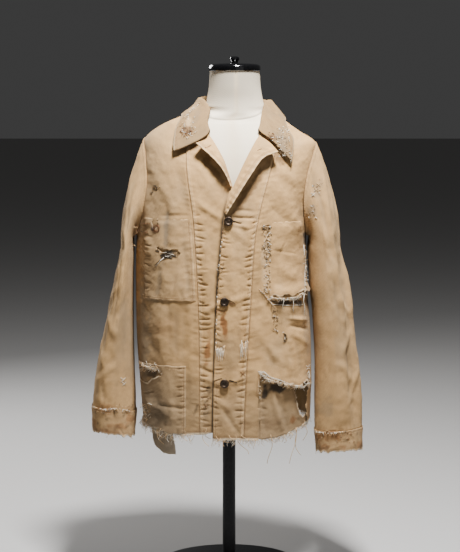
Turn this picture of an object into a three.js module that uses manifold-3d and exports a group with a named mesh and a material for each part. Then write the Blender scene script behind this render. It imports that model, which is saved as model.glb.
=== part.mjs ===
// Patched work jacket, torn and mended, worn by a limbless dress form on a low round stand.
// Millimetres, +Z up. The front faces -Y, the wearer's left is +X, and the origin is under the stand.
import * as THREE from "three";
import { mergeVertices } from "three/addons/utils/BufferGeometryUtils.js";
import Module from "manifold-3d";

const wasm = await Module();
wasm.setup();

// Driving dimensions
const HEM_HEIGHT = 300; // front hem above the floor
const CLOTH = 2.0; // shell cloth, turned edges included
const PATCH_CLOTH = 1.6;
const COLLAR_CLOTH = 2.4;
const CUFF_CLOTH = 2.8;
const SEAM_GAP = 0.3;
const PATCH_GAP = 1.0; // under a patch, so that flat facets stay clear of the curved panel
const UNDERARM = 424; // heights above the front hem from here on
const SHOULDER_TIP = { right: 633, left: 625 };
const NECKLINE = 690;
const ARMHOLE_HALF_ANGLE = 27; // degrees either side of the side seam
const BREAK = 533; // where the two roll lines cross
const BUTTON_PLACES = [[-1, 462], [-9.5, 294], [-9.5, 122]]; // distance from the centre, height
const BUTTON_DIAMETER = 19;
const FORM_FOOT = 92; // underside of the dress form
const NECK_TOP = 773;
const NECK_X = 12;
const NECK_RADIUS = 53;
const POLE_RADIUS = 14;
const BASE_RADIUS = 150;
const BASE_THICKNESS = 10;

// A smooth curve through [position, value] stations.
function through(stations) {
  const slope = stations.map((_, i) => {
    const a = stations[Math.max(i - 1, 0)];
    const b = stations[Math.min(i + 1, stations.length - 1)];
    return (b[1] - a[1]) / (b[0] - a[0]);
  });
  return (at) => {
    const last = stations.length - 1;
    if (at <= stations[0][0]) return stations[0][1];
    if (at >= stations[last][0]) return stations[last][1];
    let i = 0;
    while (at > stations[i + 1][0]) i++;
    const span = stations[i + 1][0] - stations[i][0];
    const t = (at - stations[i][0]) / span;
    const bow = t * (1 - t) * span;
    const share = t * t * (3 - 2 * t);
    const level = stations[i][1] * (1 - share) + stations[i + 1][1] * share;
    return level + bow * (slope[i] * (1 - t) - slope[i + 1] * t);
  };
}

// Body sections by height above the hem: half widths to each side and depths to front and back.
const rightWidth = through([
  [-80, 182], [0, 184], [100, 191], [200, 198], [300, 200], [400, 199], [460, 196], [540, 190],
  [600, 186], [633, 178], [661, 141], [682, 92], [690, 76], [705, 64], [720, 62],
]);
const leftWidth = through([
  [-80, 172], [0, 174], [100, 177], [200, 176], [300, 169], [380, 165], [424, 165], [500, 172],
  [560, 180], [600, 185], [625, 182], [648, 147], [672, 115], [690, 97], [705, 88], [720, 86],
]);
const frontDepth = through([
  [-80, 126], [0, 127], [150, 126], [300, 124], [420, 122], [500, 118], [560, 109], [600, 96],
  [633, 79], [660, 64], [690, 50], [720, 44],
]);
const backDepth = through([
  [-80, 122], [0, 122], [150, 120], [300, 119], [420, 122], [500, 122], [560, 117], [600, 108],
  [633, 96], [660, 85], [690, 73], [705, 68], [720, 66],
]);
const roundness = through([[0, 0.84], [400, 0.84], [560, 0.88], [633, 0.92], [720, 0.96]]);
// Hem heights by angle from the centre front, each side its own, because the fronts were torn apart.
const leftHem = through([[-40, 2], [0, 3], [30, 3], [50, 15], [70, 27], [90, 31], [180, 24]]);
const rightHem = through([[-40, 15], [0, 15], [20, 13], [36, 11], [50, 18], [75, 28], [90, 32], [180, 24]]);
// Broad drape folds of the body: angle, half width in degrees, height range, rise.
const BODY_FOLDS = [
  { angle: -40, spread: 11, low: 20, high: 330, rise: 3.5 },
  { angle: -66, spread: 10, low: 0, high: 240, rise: 4 },
  { angle: 57, spread: 11, low: 60, high: 330, rise: 4 },
  { angle: 150, spread: 14, low: 0, high: 420, rise: 5 },
  { angle: 205, spread: 15, low: 0, high: 440, rise: 5 },
  { angle: 236, spread: 10, low: 60, high: 380, rise: 4 },
  { angle: 120, spread: 10, low: 60, high: 380, rise: 4 },
];
// Roll lines of the two lapels, as distance from the centre by height.
const rightRoll = through([[BREAK, 8], [565, -2], [590, -11], [625, -31], [655, -51], [690, -60], [720, -62]]);
const leftRoll = through([[BREAK, 8], [588, 34], [625, 54], [656, 74], [690, 83], [720, 84]]);
// Front edges of the overlap and the panel seams beside it.
const leftEdge = through([
  [-20, -35], [100, -33], [300, -26], [440, -15], [473, -11], [495, -7], [523, 0], [BREAK, 8],
]);
const underEdge = through([[-20, 18], [300, 20], [471, 20], [BREAK - 12, 10]]);
const rightSeam = through([[-20, -62], [150, -62], [300, -65], [450, -74], [600, -90], [690, -70]]);
const leftSeam = through([
  [-20, 30], [100, 34], [300, 46], [420, 54], [467, 62], [517, 74], [575, 90], [625, 101],
  [655, 101], [690, 92],
]);

const radians = THREE.MathUtils.degToRad;
const smooth = THREE.MathUtils.smoothstep;
const signedPower = (value, power) => Math.sign(value) * Math.abs(value) ** power;
const mix = THREE.MathUtils.lerp;
const ramp = (from, to, steps) => Array.from({ length: steps + 1 }, (_, i) => mix(from, to, i / steps));

function drape(angle, height) {
  const degrees = THREE.MathUtils.radToDeg(angle);
  return BODY_FOLDS.reduce((sum, fold) => {
    const away = THREE.MathUtils.euclideanModulo(degrees - fold.angle + 180, 360) - 180;
    const fade = smooth(height, fold.low - 90, fold.low) * (1 - smooth(height, fold.high - 120, fold.high));
    return sum + fold.rise * fade * Math.exp(-((away / fold.spread) ** 2));
  }, 0);
}

// The worn body's outer surface: angle from the centre front towards the wearer's left, and height.
function body(angle, height) {
  const power = roundness(height);
  const wide = Math.sin(angle) < 0 ? rightWidth(height) : leftWidth(height);
  const deep = Math.cos(angle) > 0 ? frontDepth(height) : backDepth(height);
  const x = wide * signedPower(Math.sin(angle), power);
  const y = -deep * signedPower(Math.cos(angle), power);
  const grow = 1 + drape(angle, height) / Math.hypot(x, y);
  return new THREE.Vector3(x * grow, y * grow, height);
}

function bodyNormal(angle, height) {
  const step = 0.03;
  const rise = 2;
  const around = body(angle + step, height).sub(body(angle - step, height));
  const up = body(angle, height + rise).sub(body(angle, height - rise));
  return around.cross(up).normalize();
}

const onBody = (angle, height, out) => body(angle, height).addScaledVector(bodyNormal(angle, height), out);

// The angle at which the body's surface has this distance from the centre plane.
function angleAt(x, height) {
  const wide = x < 0 ? rightWidth(height) : leftWidth(height);
  const share = Math.min(Math.abs(x) / wide, 1);
  return Math.sign(x) * Math.asin(share ** (1 / roundness(height)));
}

// The angle moved by a distance along the surface, which keeps pieces apart at a seam.
function aside(angle, height, distance) {
  const step = 0.002;
  const speed = body(angle + step, height).distanceTo(body(angle - step, height)) / (2 * step);
  return angle + distance / speed;
}

// A closed cloth wall from rows of outer points and the matching rows of inner points.
function wall(outer, inner, ring = false) {
  const rows = outer.length;
  const columns = outer[0].length;
  const points = [...outer.flat(), ...inner.flat()];
  const half = rows * columns;
  const faces = [];
  const quad = (a, b, c, d) => faces.push(a, b, c, a, c, d);
  const across = ring ? columns : columns - 1;
  for (let j = 0; j < rows - 1; j++) {
    for (let i = 0; i < across; i++) {
      const a = j * columns + i;
      const b = j * columns + ((i + 1) % columns);
      quad(a, b, b + columns, a + columns);
      quad(half + b, half + a, half + a + columns, half + b + columns);
    }
  }
  for (let i = 0; i < across; i++) {
    const a = i;
    const b = (i + 1) % columns;
    const top = (rows - 1) * columns;
    quad(b, a, half + a, half + b);
    quad(top + a, top + b, half + top + b, half + top + a);
  }
  for (let j = 0; !ring && j < rows - 1; j++) {
    const a = j * columns;
    const b = a + columns - 1;
    quad(a, a + columns, half + a + columns, half + a);
    quad(b + columns, b, half + b, half + b + columns);
  }
  return closed(points, faces);
}

// A geometry from points and triangles, turned so that its faces point out.
function closed(points, faces) {
  let volume = 0;
  for (let i = 0; i < faces.length; i += 3) {
    const [a, b, c] = faces.slice(i, i + 3).map((index) => points[index]);
    volume += a.dot(b.clone().cross(c));
  }
  if (volume < 0) faces.reverse();
  const geometry = new THREE.BufferGeometry().setFromPoints(points);
  geometry.setIndex(faces);
  geometry.computeVertexNormals();
  return geometry;
}

function toSolid(geometry) {
  const bare = geometry.clone();
  bare.deleteAttribute("normal");
  bare.deleteAttribute("uv");
  const merged = mergeVertices(bare, 1e-4);
  const triVerts = new Uint32Array(merged.index.array);
  return new wasm.Manifold(
    new wasm.Mesh({ numProp: 3, vertProperties: merged.attributes.position.array, triVerts }),
  );
}

function toGeometry(solid) {
  const mesh = solid.getMesh();
  const geometry = new THREE.BufferGeometry();
  geometry.setAttribute("position", new THREE.BufferAttribute(mesh.vertProperties, 3));
  geometry.setIndex(new THREE.BufferAttribute(mesh.triVerts, 1));
  geometry.computeVertexNormals();
  return geometry;
}

// A rip: the outline is given as the front shows it, [x, height], and runs through the front alone.
function ripped(geometry, ...outlines) {
  return toGeometry(
    outlines.reduce((cloth, outline) => {
      const shape = new THREE.Shape(outline.map(([x, height]) => new THREE.Vector2(x, height)));
      const prism = new THREE.ExtrudeGeometry(shape, { depth: 300, bevelEnabled: false });
      prism.rotateX(Math.PI / 2);
      return cloth.subtract(toSolid(prism));
    }, toSolid(geometry)),
  );
}

// A strip of the body between two angles, each a function of height, at a height above its surface.
// Every row bends with the hem, and the rows' hem share fades out above it.
const HEM_REACH = 150;
function strip({ from, to, rows, columns, hem, out = () => 0, cloth = CLOTH }) {
  const place = (angle, row) => {
    const drop = hem ? hem(Math.abs(THREE.MathUtils.radToDeg(angle))) : 0;
    return row + drop * (1 - smooth(row, 0, HEM_REACH));
  };
  const points = (depth) =>
    rows.map((row) => {
      const start = from(row);
      const end = to(row);
      return ramp(start, end, columns).map((angle) => {
        const height = place(angle, row);
        return onBody(angle, height, out(angle, height) - depth);
      });
    });
  return wall(points(0), points(cloth));
}

// Armhole: a loop round the side seam from the underarm to the shoulder tip.
const ARMHOLE_STEPS = 9;
const armholeTurns = ramp(-90, 90, ARMHOLE_STEPS).map(radians);
const sides = { right: -1, left: 1 };
const armholeMiddle = (side) => (SHOULDER_TIP[side] + UNDERARM) / 2;
const armholeReach = (side) => (SHOULDER_TIP[side] - UNDERARM) / 2;

function armholeWidth(side, height) {
  const share = (height - armholeMiddle(side)) / armholeReach(side);
  return radians(ARMHOLE_HALF_ANGLE) * Math.sqrt(Math.max(0, 1 - share * share));
}

function bodyRows(side) {
  const below = [0, 30, 65, 105, 150, 200, 250, 300, 345, 387];
  const armhole = armholeTurns.map((turn) => armholeMiddle(side) + armholeReach(side) * Math.sin(turn));
  const above = ramp(SHOULDER_TIP[side], NECKLINE, 5).slice(1);
  return [...below, ...armhole, ...above];
}

// Fronts share their rows, so that their seam edges run alike; one row lies at the break of the lapels.
const frontRows = (side) => [...bodyRows(side), BREAK].sort((a, b) => a - b);
const ROLL_TOP = 680;

// The side seam, armhole edge and shoulder seam of a front (turn 1) or of the back (turn -1).
const outerEdge = (side, turn) => (height) => {
  const edge = sides[side] * (Math.PI / 2 - turn * armholeWidth(side, height));
  return aside(edge, height, (-turn * sides[side] * SEAM_GAP) / 2);
};

function sideFront(side, hem, seam) {
  const inner = (height) => aside(angleAt(seam(height), height), height, (sides[side] * SEAM_GAP) / 2);
  return strip({ from: inner, to: outerEdge(side, 1), rows: frontRows(side), columns: 8, hem });
}

// Centre fronts: the wearer's left one laps over the right one.
// Above the break both end at their roll lines.
const LAP_RISE = 1.4;
const UNDERLAP_DROP = 2.2;

function lapRise(angle, height) {
  const along = body(angle, height).x;
  const lapped = 1 - smooth(height, BREAK - 40, BREAK);
  return LAP_RISE * lapped * (1 - smooth(along, leftSeam(height) - 34, leftSeam(height) - 4));
}

const leftFold = (height) => (height < BREAK ? leftEdge(height) : leftRoll(height));

function centreFrontLeft() {
  const from = (height) => angleAt(leftFold(height), height);
  const to = (height) => aside(angleAt(leftSeam(height), height), height, -SEAM_GAP / 2);
  const rows = frontRows("left").filter((height) => height < ROLL_TOP);
  return strip({ from, to, rows, columns: 5, hem: leftHem, out: lapRise });
}

function centreFrontRight() {
  const from = (height) => aside(angleAt(rightSeam(height), height), height, SEAM_GAP / 2);
  const to = (height) => angleAt(height < BREAK ? underEdge(height) : rightRoll(height), height);
  const rows = frontRows("right").filter((height) => height < ROLL_TOP);
  const out = (angle, height) => {
    const along = body(angle, height).x;
    return -UNDERLAP_DROP * smooth(along, leftEdge(height) - 18, leftEdge(height) - 4);
  };
  return strip({ from, to, rows, columns: 5, hem: rightHem, out });
}

const backHem = (degrees) => leftHem(degrees <= 180 ? degrees : 360 - degrees);

function back() {
  const from = outerEdge("left", -1);
  const to = (height) => 2 * Math.PI + outerEdge("right", -1)(height);
  return strip({ from, to, rows: bodyRows("right"), columns: 18, hem: backHem });
}

// Lapels: the fronts' top corners turned back along the roll lines and standing off the chest.
// Stations of the free edge: share from the lower end, then distance from the centre and height.
const LAPEL_LIFT = 11;
const LAPELS = {
  right: {
    fold: rightRoll,
    span: [BREAK + 5, 634],
    edge: [[0, 4, 533], [0.25, -5, 553], [0.5, -17, 571], [0.75, -38, 592], [1, -66, 615]],
  },
  left: {
    fold: leftFold,
    span: [480, 638],
    edge: [[0, -6, 476], [0.2, 7, 497], [0.4, 26, 528], [0.6, 46, 559], [0.8, 68, 587], [1, 97, 599]],
  },
};
function lapel(side) {
  const { fold, span, edge } = LAPELS[side];
  const edgeX = through(edge.map(([share, x]) => [share, x]));
  const edgeHeight = through(edge.map(([share, , height]) => [share, height]));
  const sheet = (depth) =>
    ramp(0, 1, 9).map((share) => {
      const height = mix(...span, share);
      const start = aside(angleAt(fold(height), height), height, sides[side] * 0.4);
      const end = angleAt(edgeX(share), edgeHeight(share));
      return [0, 0.34, 0.67, 1].map((across) => {
        const angle = mix(start, end, across);
        const level = mix(height, edgeHeight(share), across);
        const seat = CLOTH + 0.7 + (side === "left" ? lapRise(angle, level) : 0);
        return onBody(angle, level, seat + LAPEL_LIFT * across * smooth(share, -0.2, 0.6) - depth);
      });
    });
  return wall(sheet(0), sheet(CLOTH));
}

// Collar: rises from the neckline as a stand, folds, and falls over the shoulders.
// Stations: share of its length from the wearer's left end, then base height, stand, edge angle, edge height and
// the power by which the fall drops from the fold to its edge; below 1 it drops early.
const COLLAR = [
  [0, 641, 5, 41.5, 583, 0.75],
  [0.1, 664, 12, 46.5, 627, 1],
  [0.2, NECKLINE, 15, 68, 662, 1],
  [0.33, NECKLINE, 15, 108, 672, 1],
  [0.42, NECKLINE, 22, 148, 669, 1],
  [0.5, NECKLINE, 26, 185, 665, 1],
  [0.58, NECKLINE, 25, 221, 670, 1],
  [0.67, NECKLINE, 22, 257, 679, 1],
  [0.8, NECKLINE, 17, 303, 671, 1],
  [0.9, 662, 12, 320, 640, 1],
  [1, 640, 5, 325, 603, 0.5],
];
const COLLAR_FRONT = 0.2; // share at each end that runs down a roll line
const COLLAR_FALL_LIFT = 4.4; // inner face of the fall above the shoulder
const COLLAR_STAND_FACE = -2.2; // neck face of the stand, level with the inside of the shell
const COLLAR_SEAM = 0.7;
function collar() {
  const line = (column) => through(COLLAR.map((station) => [station[0], station[column]]));
  const [baseHeight, stand, edgeAngle, edgeHeight, power] = [1, 2, 3, 4, 5].map(line);
  const leftBase = (height) => aside(angleAt(leftRoll(height), height), height, -COLLAR_SEAM);
  const rightBase = (height) => 2 * Math.PI + aside(angleAt(rightRoll(height), height), height, COLLAR_SEAM);
  const baseAngle = (share) => {
    if (share <= COLLAR_FRONT) return leftBase(baseHeight(share));
    if (share >= 1 - COLLAR_FRONT) return rightBase(baseHeight(share));
    const round = (share - COLLAR_FRONT) / (1 - 2 * COLLAR_FRONT);
    return mix(leftBase(NECKLINE), rightBase(NECKLINE), round);
  };
  const section = (share, depth) => {
    const angle = baseAngle(share);
    const height = baseHeight(share) + COLLAR_SEAM;
    const rise = stand(share);
    const up = [0, 0.5, 0.92].map((part) => onBody(angle, height + rise * part, COLLAR_STAND_FACE + depth));
    const middle = (COLLAR_STAND_FACE + COLLAR_FALL_LIFT + COLLAR_CLOTH) / 2;
    const crown = onBody(angle, height + rise, middle);
    crown.z += 4.5 - depth;
    const down = [0.04, 0.22, 0.45, 0.72, 1].map((part) => {
      const outAngle = mix(angle, radians(edgeAngle(share)), part);
      const level = mix(height, edgeHeight(share), part ** power(share)) + rise * (1 - part) ** 1.6;
      const lift = COLLAR_FALL_LIFT + COLLAR_CLOTH - depth + 3 * Math.sin(Math.PI * part);
      return onBody(outAngle, level, lift);
    });
    return [...up, crown, ...down];
  };
  const shares = ramp(0, 1, 30);
  return wall(
    shares.map((share) => section(share, 0)),
    shares.map((share) => section(share, COLLAR_CLOTH)),
  );
}

// Sleeves hang empty: stations of height, outer and inner distance from the centre, middle and half depth.
const SLEEVES = {
  right: [
    [400, -232, -204, 4, 74], [330, -246, -205, 2, 71], [260, -260, -206, 0, 66], [190, -275, -205, -3, 60],
    [130, -286, -203, -6, 55], [52, -294, -201, -10, 49], [-1, -293, -205, -12, 46],
  ],
  left: [
    [400, 238, 168, 2, 70], [320, 252, 172, -2, 67], [255, 261, 179, -5, 63], [160, 273, 184, -8, 57],
    [80, 281, 184, -10, 53], [7, 286, 185, -12, 49], [-37, 286, 189, -14, 47],
  ],
};
// Long folds down the sleeves: turn round the section in degrees, half width, height range, rise.
const SLEEVE_FOLDS = {
  right: [
    { turn: 30, spread: 24, low: 60, high: 430, rise: 5 },
    { turn: -32, spread: 20, low: 40, high: 360, rise: -5 },
    { turn: 150, spread: 26, low: 60, high: 380, rise: 5 },
  ],
  left: [
    { turn: 8, spread: 20, low: 40, high: 440, rise: 5 },
    { turn: 46, spread: 18, low: 20, high: 420, rise: -6 },
    { turn: 84, spread: 22, low: 40, high: 400, rise: 5 },
    { turn: 165, spread: 24, low: 60, high: 380, rise: 5 },
  ],
};
const SLEEVE_HEAD_ROWS = 6;
const SLEEVE_POWER = 0.86;
const CUFF_TILT = { right: 6, left: 3 };

function sleeveRing(side, turn, height) {
  const [outer, inner, middle, half] = [1, 2, 3, 4].map((column) =>
    through(SLEEVES[side].map((station) => [-station[0], station[column]]))(-height),
  );
  const centre = (outer + inner) / 2;
  const reach = (outer - inner) / 2;
  const x = centre + reach * signedPower(Math.sin(turn), SLEEVE_POWER);
  const y = middle - half * signedPower(Math.cos(turn), SLEEVE_POWER);
  const away = new THREE.Vector3(x - centre, y - middle, 0).normalize();
  const degrees = THREE.MathUtils.radToDeg(turn);
  const swell = SLEEVE_FOLDS[side].reduce((sum, fold) => {
    const off = THREE.MathUtils.euclideanModulo(degrees - fold.turn + 180, 360) - 180;
    const rise = smooth(height, fold.low - 60, fold.low + 40);
    const fade = rise * (1 - smooth(height, fold.high - 90, fold.high));
    return sum + fold.rise * fade * Math.exp(-((off / fold.spread) ** 2));
  }, 0);
  const tilt = CUFF_TILT[side] * Math.sin(turn) * (1 - smooth(height, 40, 160));
  return new THREE.Vector3(x, y, height + tilt).addScaledVector(away, swell);
}

// The armhole loop on the body's surface.
function armholePoint(side, turn) {
  const height = armholeMiddle(side) + armholeReach(side) * Math.sin(turn);
  const angle = sides[side] * (Math.PI / 2 - radians(ARMHOLE_HALF_ANGLE) * Math.cos(turn));
  return body(angle, height);
}

// A sleeve's head leaves the armhole sideways and bends down into the first hanging ring.
function sleeveHeadPoint(side, turn, share) {
  const middle = body(sides[side] * (Math.PI / 2), armholeMiddle(side));
  const seam = armholePoint(side, turn);
  const inward = middle.clone().sub(seam).setX(0).normalize();
  const start = seam.addScaledVector(inward, 0.7).add(new THREE.Vector3(sides[side] * 0.6, 0, 0));
  const top = SLEEVES[side][0][0];
  const end = sleeveRing(side, turn, top);
  const high = (1 + Math.sin(turn)) / 2;
  const leave = start.clone().add(new THREE.Vector3(sides[side] * 12, 0, -12 * high));
  const arrive = end.clone().add(new THREE.Vector3(0, 0, 0.43 * (start.z - end.z)));
  return new THREE.CubicBezierCurve3(start, leave, arrive, end).getPoint(share);
}

// A sleeve's outer surface by turn and row: the head's rows first, then the hanging ones down to the cuff.
const SLEEVE_ROWS = 9;
function sleevePoint(side, turn, row) {
  if (row <= SLEEVE_HEAD_ROWS) return sleeveHeadPoint(side, turn, row / SLEEVE_HEAD_ROWS);
  const heights = SLEEVES[side].map((station) => station[0]);
  const share = (row - SLEEVE_HEAD_ROWS) / SLEEVE_ROWS;
  return sleeveRing(side, turn, mix(heights[0], heights[heights.length - 2], share));
}

function sleeveNormal(side, turn, row) {
  const around = sleevePoint(side, turn + 0.1, row).sub(sleevePoint(side, turn - 0.1, row));
  const last = SLEEVE_HEAD_ROWS + SLEEVE_ROWS;
  const above = sleevePoint(side, turn, Math.max(row - 0.5, 0));
  const along = sleevePoint(side, turn, Math.min(row + 0.5, last)).sub(above);
  return around.cross(along).normalize().multiplyScalar(sides[side]);
}

// Half a sleeve between two turns of its section, seamed to the other half at front and back.
const SLEEVE_SEAM = 0.35; // degrees
function sleeveHalf(side, fromTurn, toTurn) {
  const turns = ramp(fromTurn + SLEEVE_SEAM, toTurn - SLEEVE_SEAM, 10).map(radians);
  const rows = ramp(0, SLEEVE_HEAD_ROWS + SLEEVE_ROWS, SLEEVE_HEAD_ROWS + SLEEVE_ROWS);
  const face = (depth) =>
    rows.map((row) =>
      turns.map((turn) => {
        const normal = sleeveNormal(side, turn, row);
        return sleevePoint(side, turn, row).addScaledVector(normal, -depth);
      }),
    );
  return wall(face(0), face(CLOTH));
}

function cuff(side) {
  const turns = ramp(0, 360, 22).slice(0, -1).map(radians);
  const heights = SLEEVES[side].map((station) => station[0]);
  const [seam, end] = heights.slice(-2);
  const outset = 2.2;
  const ring = (height, out) =>
    turns.map((turn) => {
      const point = sleeveRing(side, turn, height);
      const middle = sleeveRing(side, turn + Math.PI, height).add(point).divideScalar(2);
      const away = point.clone().sub(middle).setZ(0).normalize();
      return point.addScaledVector(away, out);
    });
  const rows = ramp(seam - SEAM_GAP - 0.3, end, 3);
  return wall(
    rows.map((height) => ring(height, outset)),
    rows.map((height) => ring(height, outset - CUFF_CLOTH)),
    true,
  );
}

// A patch over or under a front, between two angles by height.
const overShell = PATCH_GAP + PATCH_CLOTH;
const underShell = -CLOTH - 1.5;
const atX = (x) => (height) => angleAt(x(height), height);
function patch({ from, to, rows, columns, hem, out = () => overShell }) {
  return strip({ from, to, rows, columns, hem, out, cloth: PATCH_CLOTH });
}

const steady = (value) => () => value;

// Torn window in the wearer's left front, which the underlaid patch fills.
const LEFT_TEAR = [
  [65, -40], [65, 118], [68, 141], [80, 128], [92, 120], [104, 124], [118, 113], [131, 116], [144, 106],
  [154, 112], [163, 119], [166, 96], [164, 60], [167, 20], [165, -40],
];
const UNDERLAY_RIP = [
  [141, 112], [146, 88], [149, 66], [154, 52], [161, 42], [169, 47], [200, 60], [200, 112], [176, 118],
  [158, 110],
];
const CHEST_HOLE = [[-160, 455], [-156, 461], [-151, 459], [-149, 450], [-153, 444], [-159, 447]];
const CHEST_SLIT = [
  [-150, 405], [-141, 403], [-127, 400], [-109, 398], [-103, 394], [-107, 388], [-120, 389], [-131, 393],
  [-144, 400],
];
const POCKET_RIP = [
  [-192, 153], [-180, 149], [-166, 145], [-150, 147], [-143, 140], [-152, 131], [-164, 125], [-172, 115],
  [-186, 119], [-200, 135],
];
const CHEST_PATCH_TEAR = [
  [70, 280], [92, 306], [104, 301], [116, 306], [127, 300], [139, 305], [150, 312], [162, 306], [175, 308],
  [175, 280],
];

function chestPatchLeft() {
  const edge = through([[292, 80], [400, 72], [460, 62]]);
  const to = (height) => radians(edge(height));
  const rows = [292, 318, ...frontRows("left").filter((height) => height > 330 && height < 470)];
  return ripped(patch({ from: atX(steady(84)), to, rows, columns: 6 }), CHEST_PATCH_TEAR);
}

function chestPatchRight() {
  const from = atX((height) => -rightWidth(height) * 0.91);
  const to = atX((height) => rightSeam(height) - 5);
  return ripped(patch({ from, to, rows: ramp(294, 465, 7), columns: 6 }), CHEST_HOLE, CHEST_SLIT);
}

function lowerPocketRight() {
  const from = atX((height) => -rightWidth(height) * 0.985);
  const rows = [1.5, 30, 65, 105, 157];
  return ripped(patch({ from, to: atX(steady(-90)), rows, columns: 7, hem: rightHem }), POCKET_RIP);
}

function underlayLeft() {
  const to = atX((height) => leftWidth(height) * 0.992);
  const rows = [0, 30, 65, 105, 150];
  const out = () => underShell;
  return ripped(patch({ from: atX(steady(58)), to, rows, columns: 10, hem: leftHem, out }), UNDERLAY_RIP);
}

// Pocket bag that hangs out below the torn hem, on the inside.
function pocketBag() {
  const from = atX(through([[-36, -146], [-20, -165], [10, -171], [70, -173]]));
  const to = atX(through([[-36, -117], [-20, -117], [10, -122], [70, -125]]));
  const out = (_, height) => -CLOTH - 1 - 8 * (1 - smooth(height, 0, 60));
  return patch({ from, to, rows: [-36, -24, -12, 5, 22, 45, 70], columns: 4, out });
}

// Frayed hem: loose threads hanging from a narrow strip torn from the cloth's edge.
const THREAD_RADIUS = 1.0;
const FRAY_STRIP = 3;
function thread(root, length, sway, lean) {
  const points = [0, 0.34, 0.68, 1].map((share) => {
    const curl = Math.sin(share * 3.4 + sway) - Math.sin(sway);
    const forward = 2.4 * Math.sin(2 * sway) * share;
    return new THREE.Vector3(lean * share + 3.2 * curl, forward, 1.4 - length * share).add(root);
  });
  const ringPoints = points.flatMap((point, i) =>
    [90, 210, 330].map((turn) => {
      const radius = THREAD_RADIUS * (1 - 0.18 * i);
      const spoke = new THREE.Vector3(Math.cos(radians(turn)), Math.sin(radians(turn)), 0);
      return point.clone().addScaledVector(spoke, radius);
    }),
  );
  const faces = [0, 2, 1];
  for (let row = 0; row < points.length - 1; row++) {
    for (let corner = 0; corner < 3; corner++) {
      const [a, b] = [row * 3 + corner, row * 3 + ((corner + 1) % 3)];
      faces.push(a, b, b + 3, a, b + 3, a + 3);
    }
  }
  const end = 3 * (points.length - 1);
  faces.push(end, end + 1, end + 2);
  return closed(ringPoints, faces);
}

function fray({ span, columns, hem, threads, longest, out = 0 }) {
  const angles = ramp(...span, columns).map(radians);
  const edge = (angle) => hem(Math.abs(THREE.MathUtils.radToDeg(angle)));
  const row = (drop, depth) => angles.map((angle) => onBody(angle, edge(angle) - drop, out - depth));
  const rows = [SEAM_GAP + 0.2, FRAY_STRIP];
  const base = wall(
    rows.map((drop) => row(drop, 0)),
    rows.map((drop) => row(drop, CLOTH)),
  );
  const hanging = ramp(0.02, 0.98, threads - 1).map((share, i) => {
    const angle = mix(angles[0], angles[columns], share);
    const root = onBody(angle, edge(angle) - FRAY_STRIP + 0.3, out - CLOTH / 2);
    const vary = (Math.sin(i * 12.9898) * 43758.5453) % 1;
    const length = longest * (0.16 + 0.84 * Math.abs(vary) ** 3);
    return thread(root, length, i * 2.4, 9 * Math.sin(i * 1.7));
  });
  return toGeometry(hanging.reduce((cloth, strand) => cloth.add(toSolid(strand)), toSolid(base)));
}

// Sewn-through metal button: a dished disc on a short shank.
function button() {
  const radius = BUTTON_DIAMETER / 2;
  const profile = [
    [0, 0], [3, 0], [3, 1.6], [radius - 1, 1.6], [radius, 2.6], [radius - 1.2, 4.2], [radius * 0.55, 3.4],
    [0, 3.2],
  ];
  return new THREE.LatheGeometry(profile.map(([r, z]) => new THREE.Vector2(r, z)), 16);
}

// Dress form: its shoulders carry the jacket, and its chest, waist and foot are slimmer than the cloth.
const formEase = through([
  [90, 34], [200, 36], [300, 30], [424, 20], [500, 15], [560, 10], [600, 7], [618, 5.2], [632, 3.6], [655, 3],
  [672, 6],
]);
const chestEase = through([[424, 0], [540, 5], [672, 1.5]]);
const FORM_DROP = 2;
// Neck rings: height, half width, half depth, middle.
const NECK = [
  [686, 68, 55, 6], [700, 63, 54, 5], [716, 59, 53, 3], [740, 55, 53, 0],
  [NECK_TOP, NECK_RADIUS, NECK_RADIUS, -2],
];
function dressForm() {
  const turns = ramp(0, 360, 30).slice(0, -1).map(radians);
  const heights = [...ramp(FORM_FOOT, UNDERARM, 7), 470, 515, 555, 590, 612, 626, 638, 650, 661, 672];
  const torso = heights.map((height) =>
    turns.map((turn) => {
      const point = body(turn, height + FORM_DROP);
      const reach = Math.hypot(point.x, point.y);
      const front = chestEase(height) * Math.max(0, Math.cos(turn)) ** 2;
      const spare = formEase(height) + front + drape(turn, height + FORM_DROP);
      return point.multiplyScalar((reach - spare) / reach).setZ(height);
    }),
  );
  const neck = NECK.map(([height, wide, deep, middle]) =>
    turns.map((turn) => {
      const x = NECK_X + wide * Math.sin(turn);
      return new THREE.Vector3(x, middle - deep * Math.cos(turn), height);
    }),
  );
  return lofted([...torso, ...neck]);
}

// A solid through closed rings, with a flat cap at each end.
function lofted(rings) {
  const columns = rings[0].length;
  const points = rings.flat();
  const faces = [];
  for (let j = 0; j < rings.length - 1; j++) {
    for (let i = 0; i < columns; i++) {
      const a = j * columns + i;
      const b = j * columns + ((i + 1) % columns);
      faces.push(a, b, b + columns, a, b + columns, a + columns);
    }
  }
  const top = (rings.length - 1) * columns;
  for (let i = 1; i < columns - 1; i++) {
    faces.push(0, i + 1, i);
    faces.push(top, top + i, top + i + 1);
  }
  return closed(points, faces);
}

function turned(profile, sides) {
  const geometry = new THREE.LatheGeometry(profile.map(([r, z]) => new THREE.Vector2(r, z)), sides);
  return geometry.rotateX(Math.PI / 2);
}

// Materials
const cloth = (color) => new THREE.MeshStandardMaterial({ color, roughness: 0.92, metalness: 0 });
const TAN = cloth(0xb79c78);
const FADED = cloth(0xb29a7a);
const WORN = cloth(0x9a8266);
const RAW = cloth(0xd2c2a4);
const LINEN = cloth(0xe0dbd2);
const BUTTON_METAL = new THREE.MeshStandardMaterial({ color: 0x2c241f, roughness: 0.42, metalness: 0.8 });
const GLOSS_BLACK = new THREE.MeshStandardMaterial({ color: 0x141416, roughness: 0.18, metalness: 0.6 });
const STAND_BLACK = new THREE.MeshStandardMaterial({ color: 0x17171a, roughness: 0.5, metalness: 0.7 });

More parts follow.
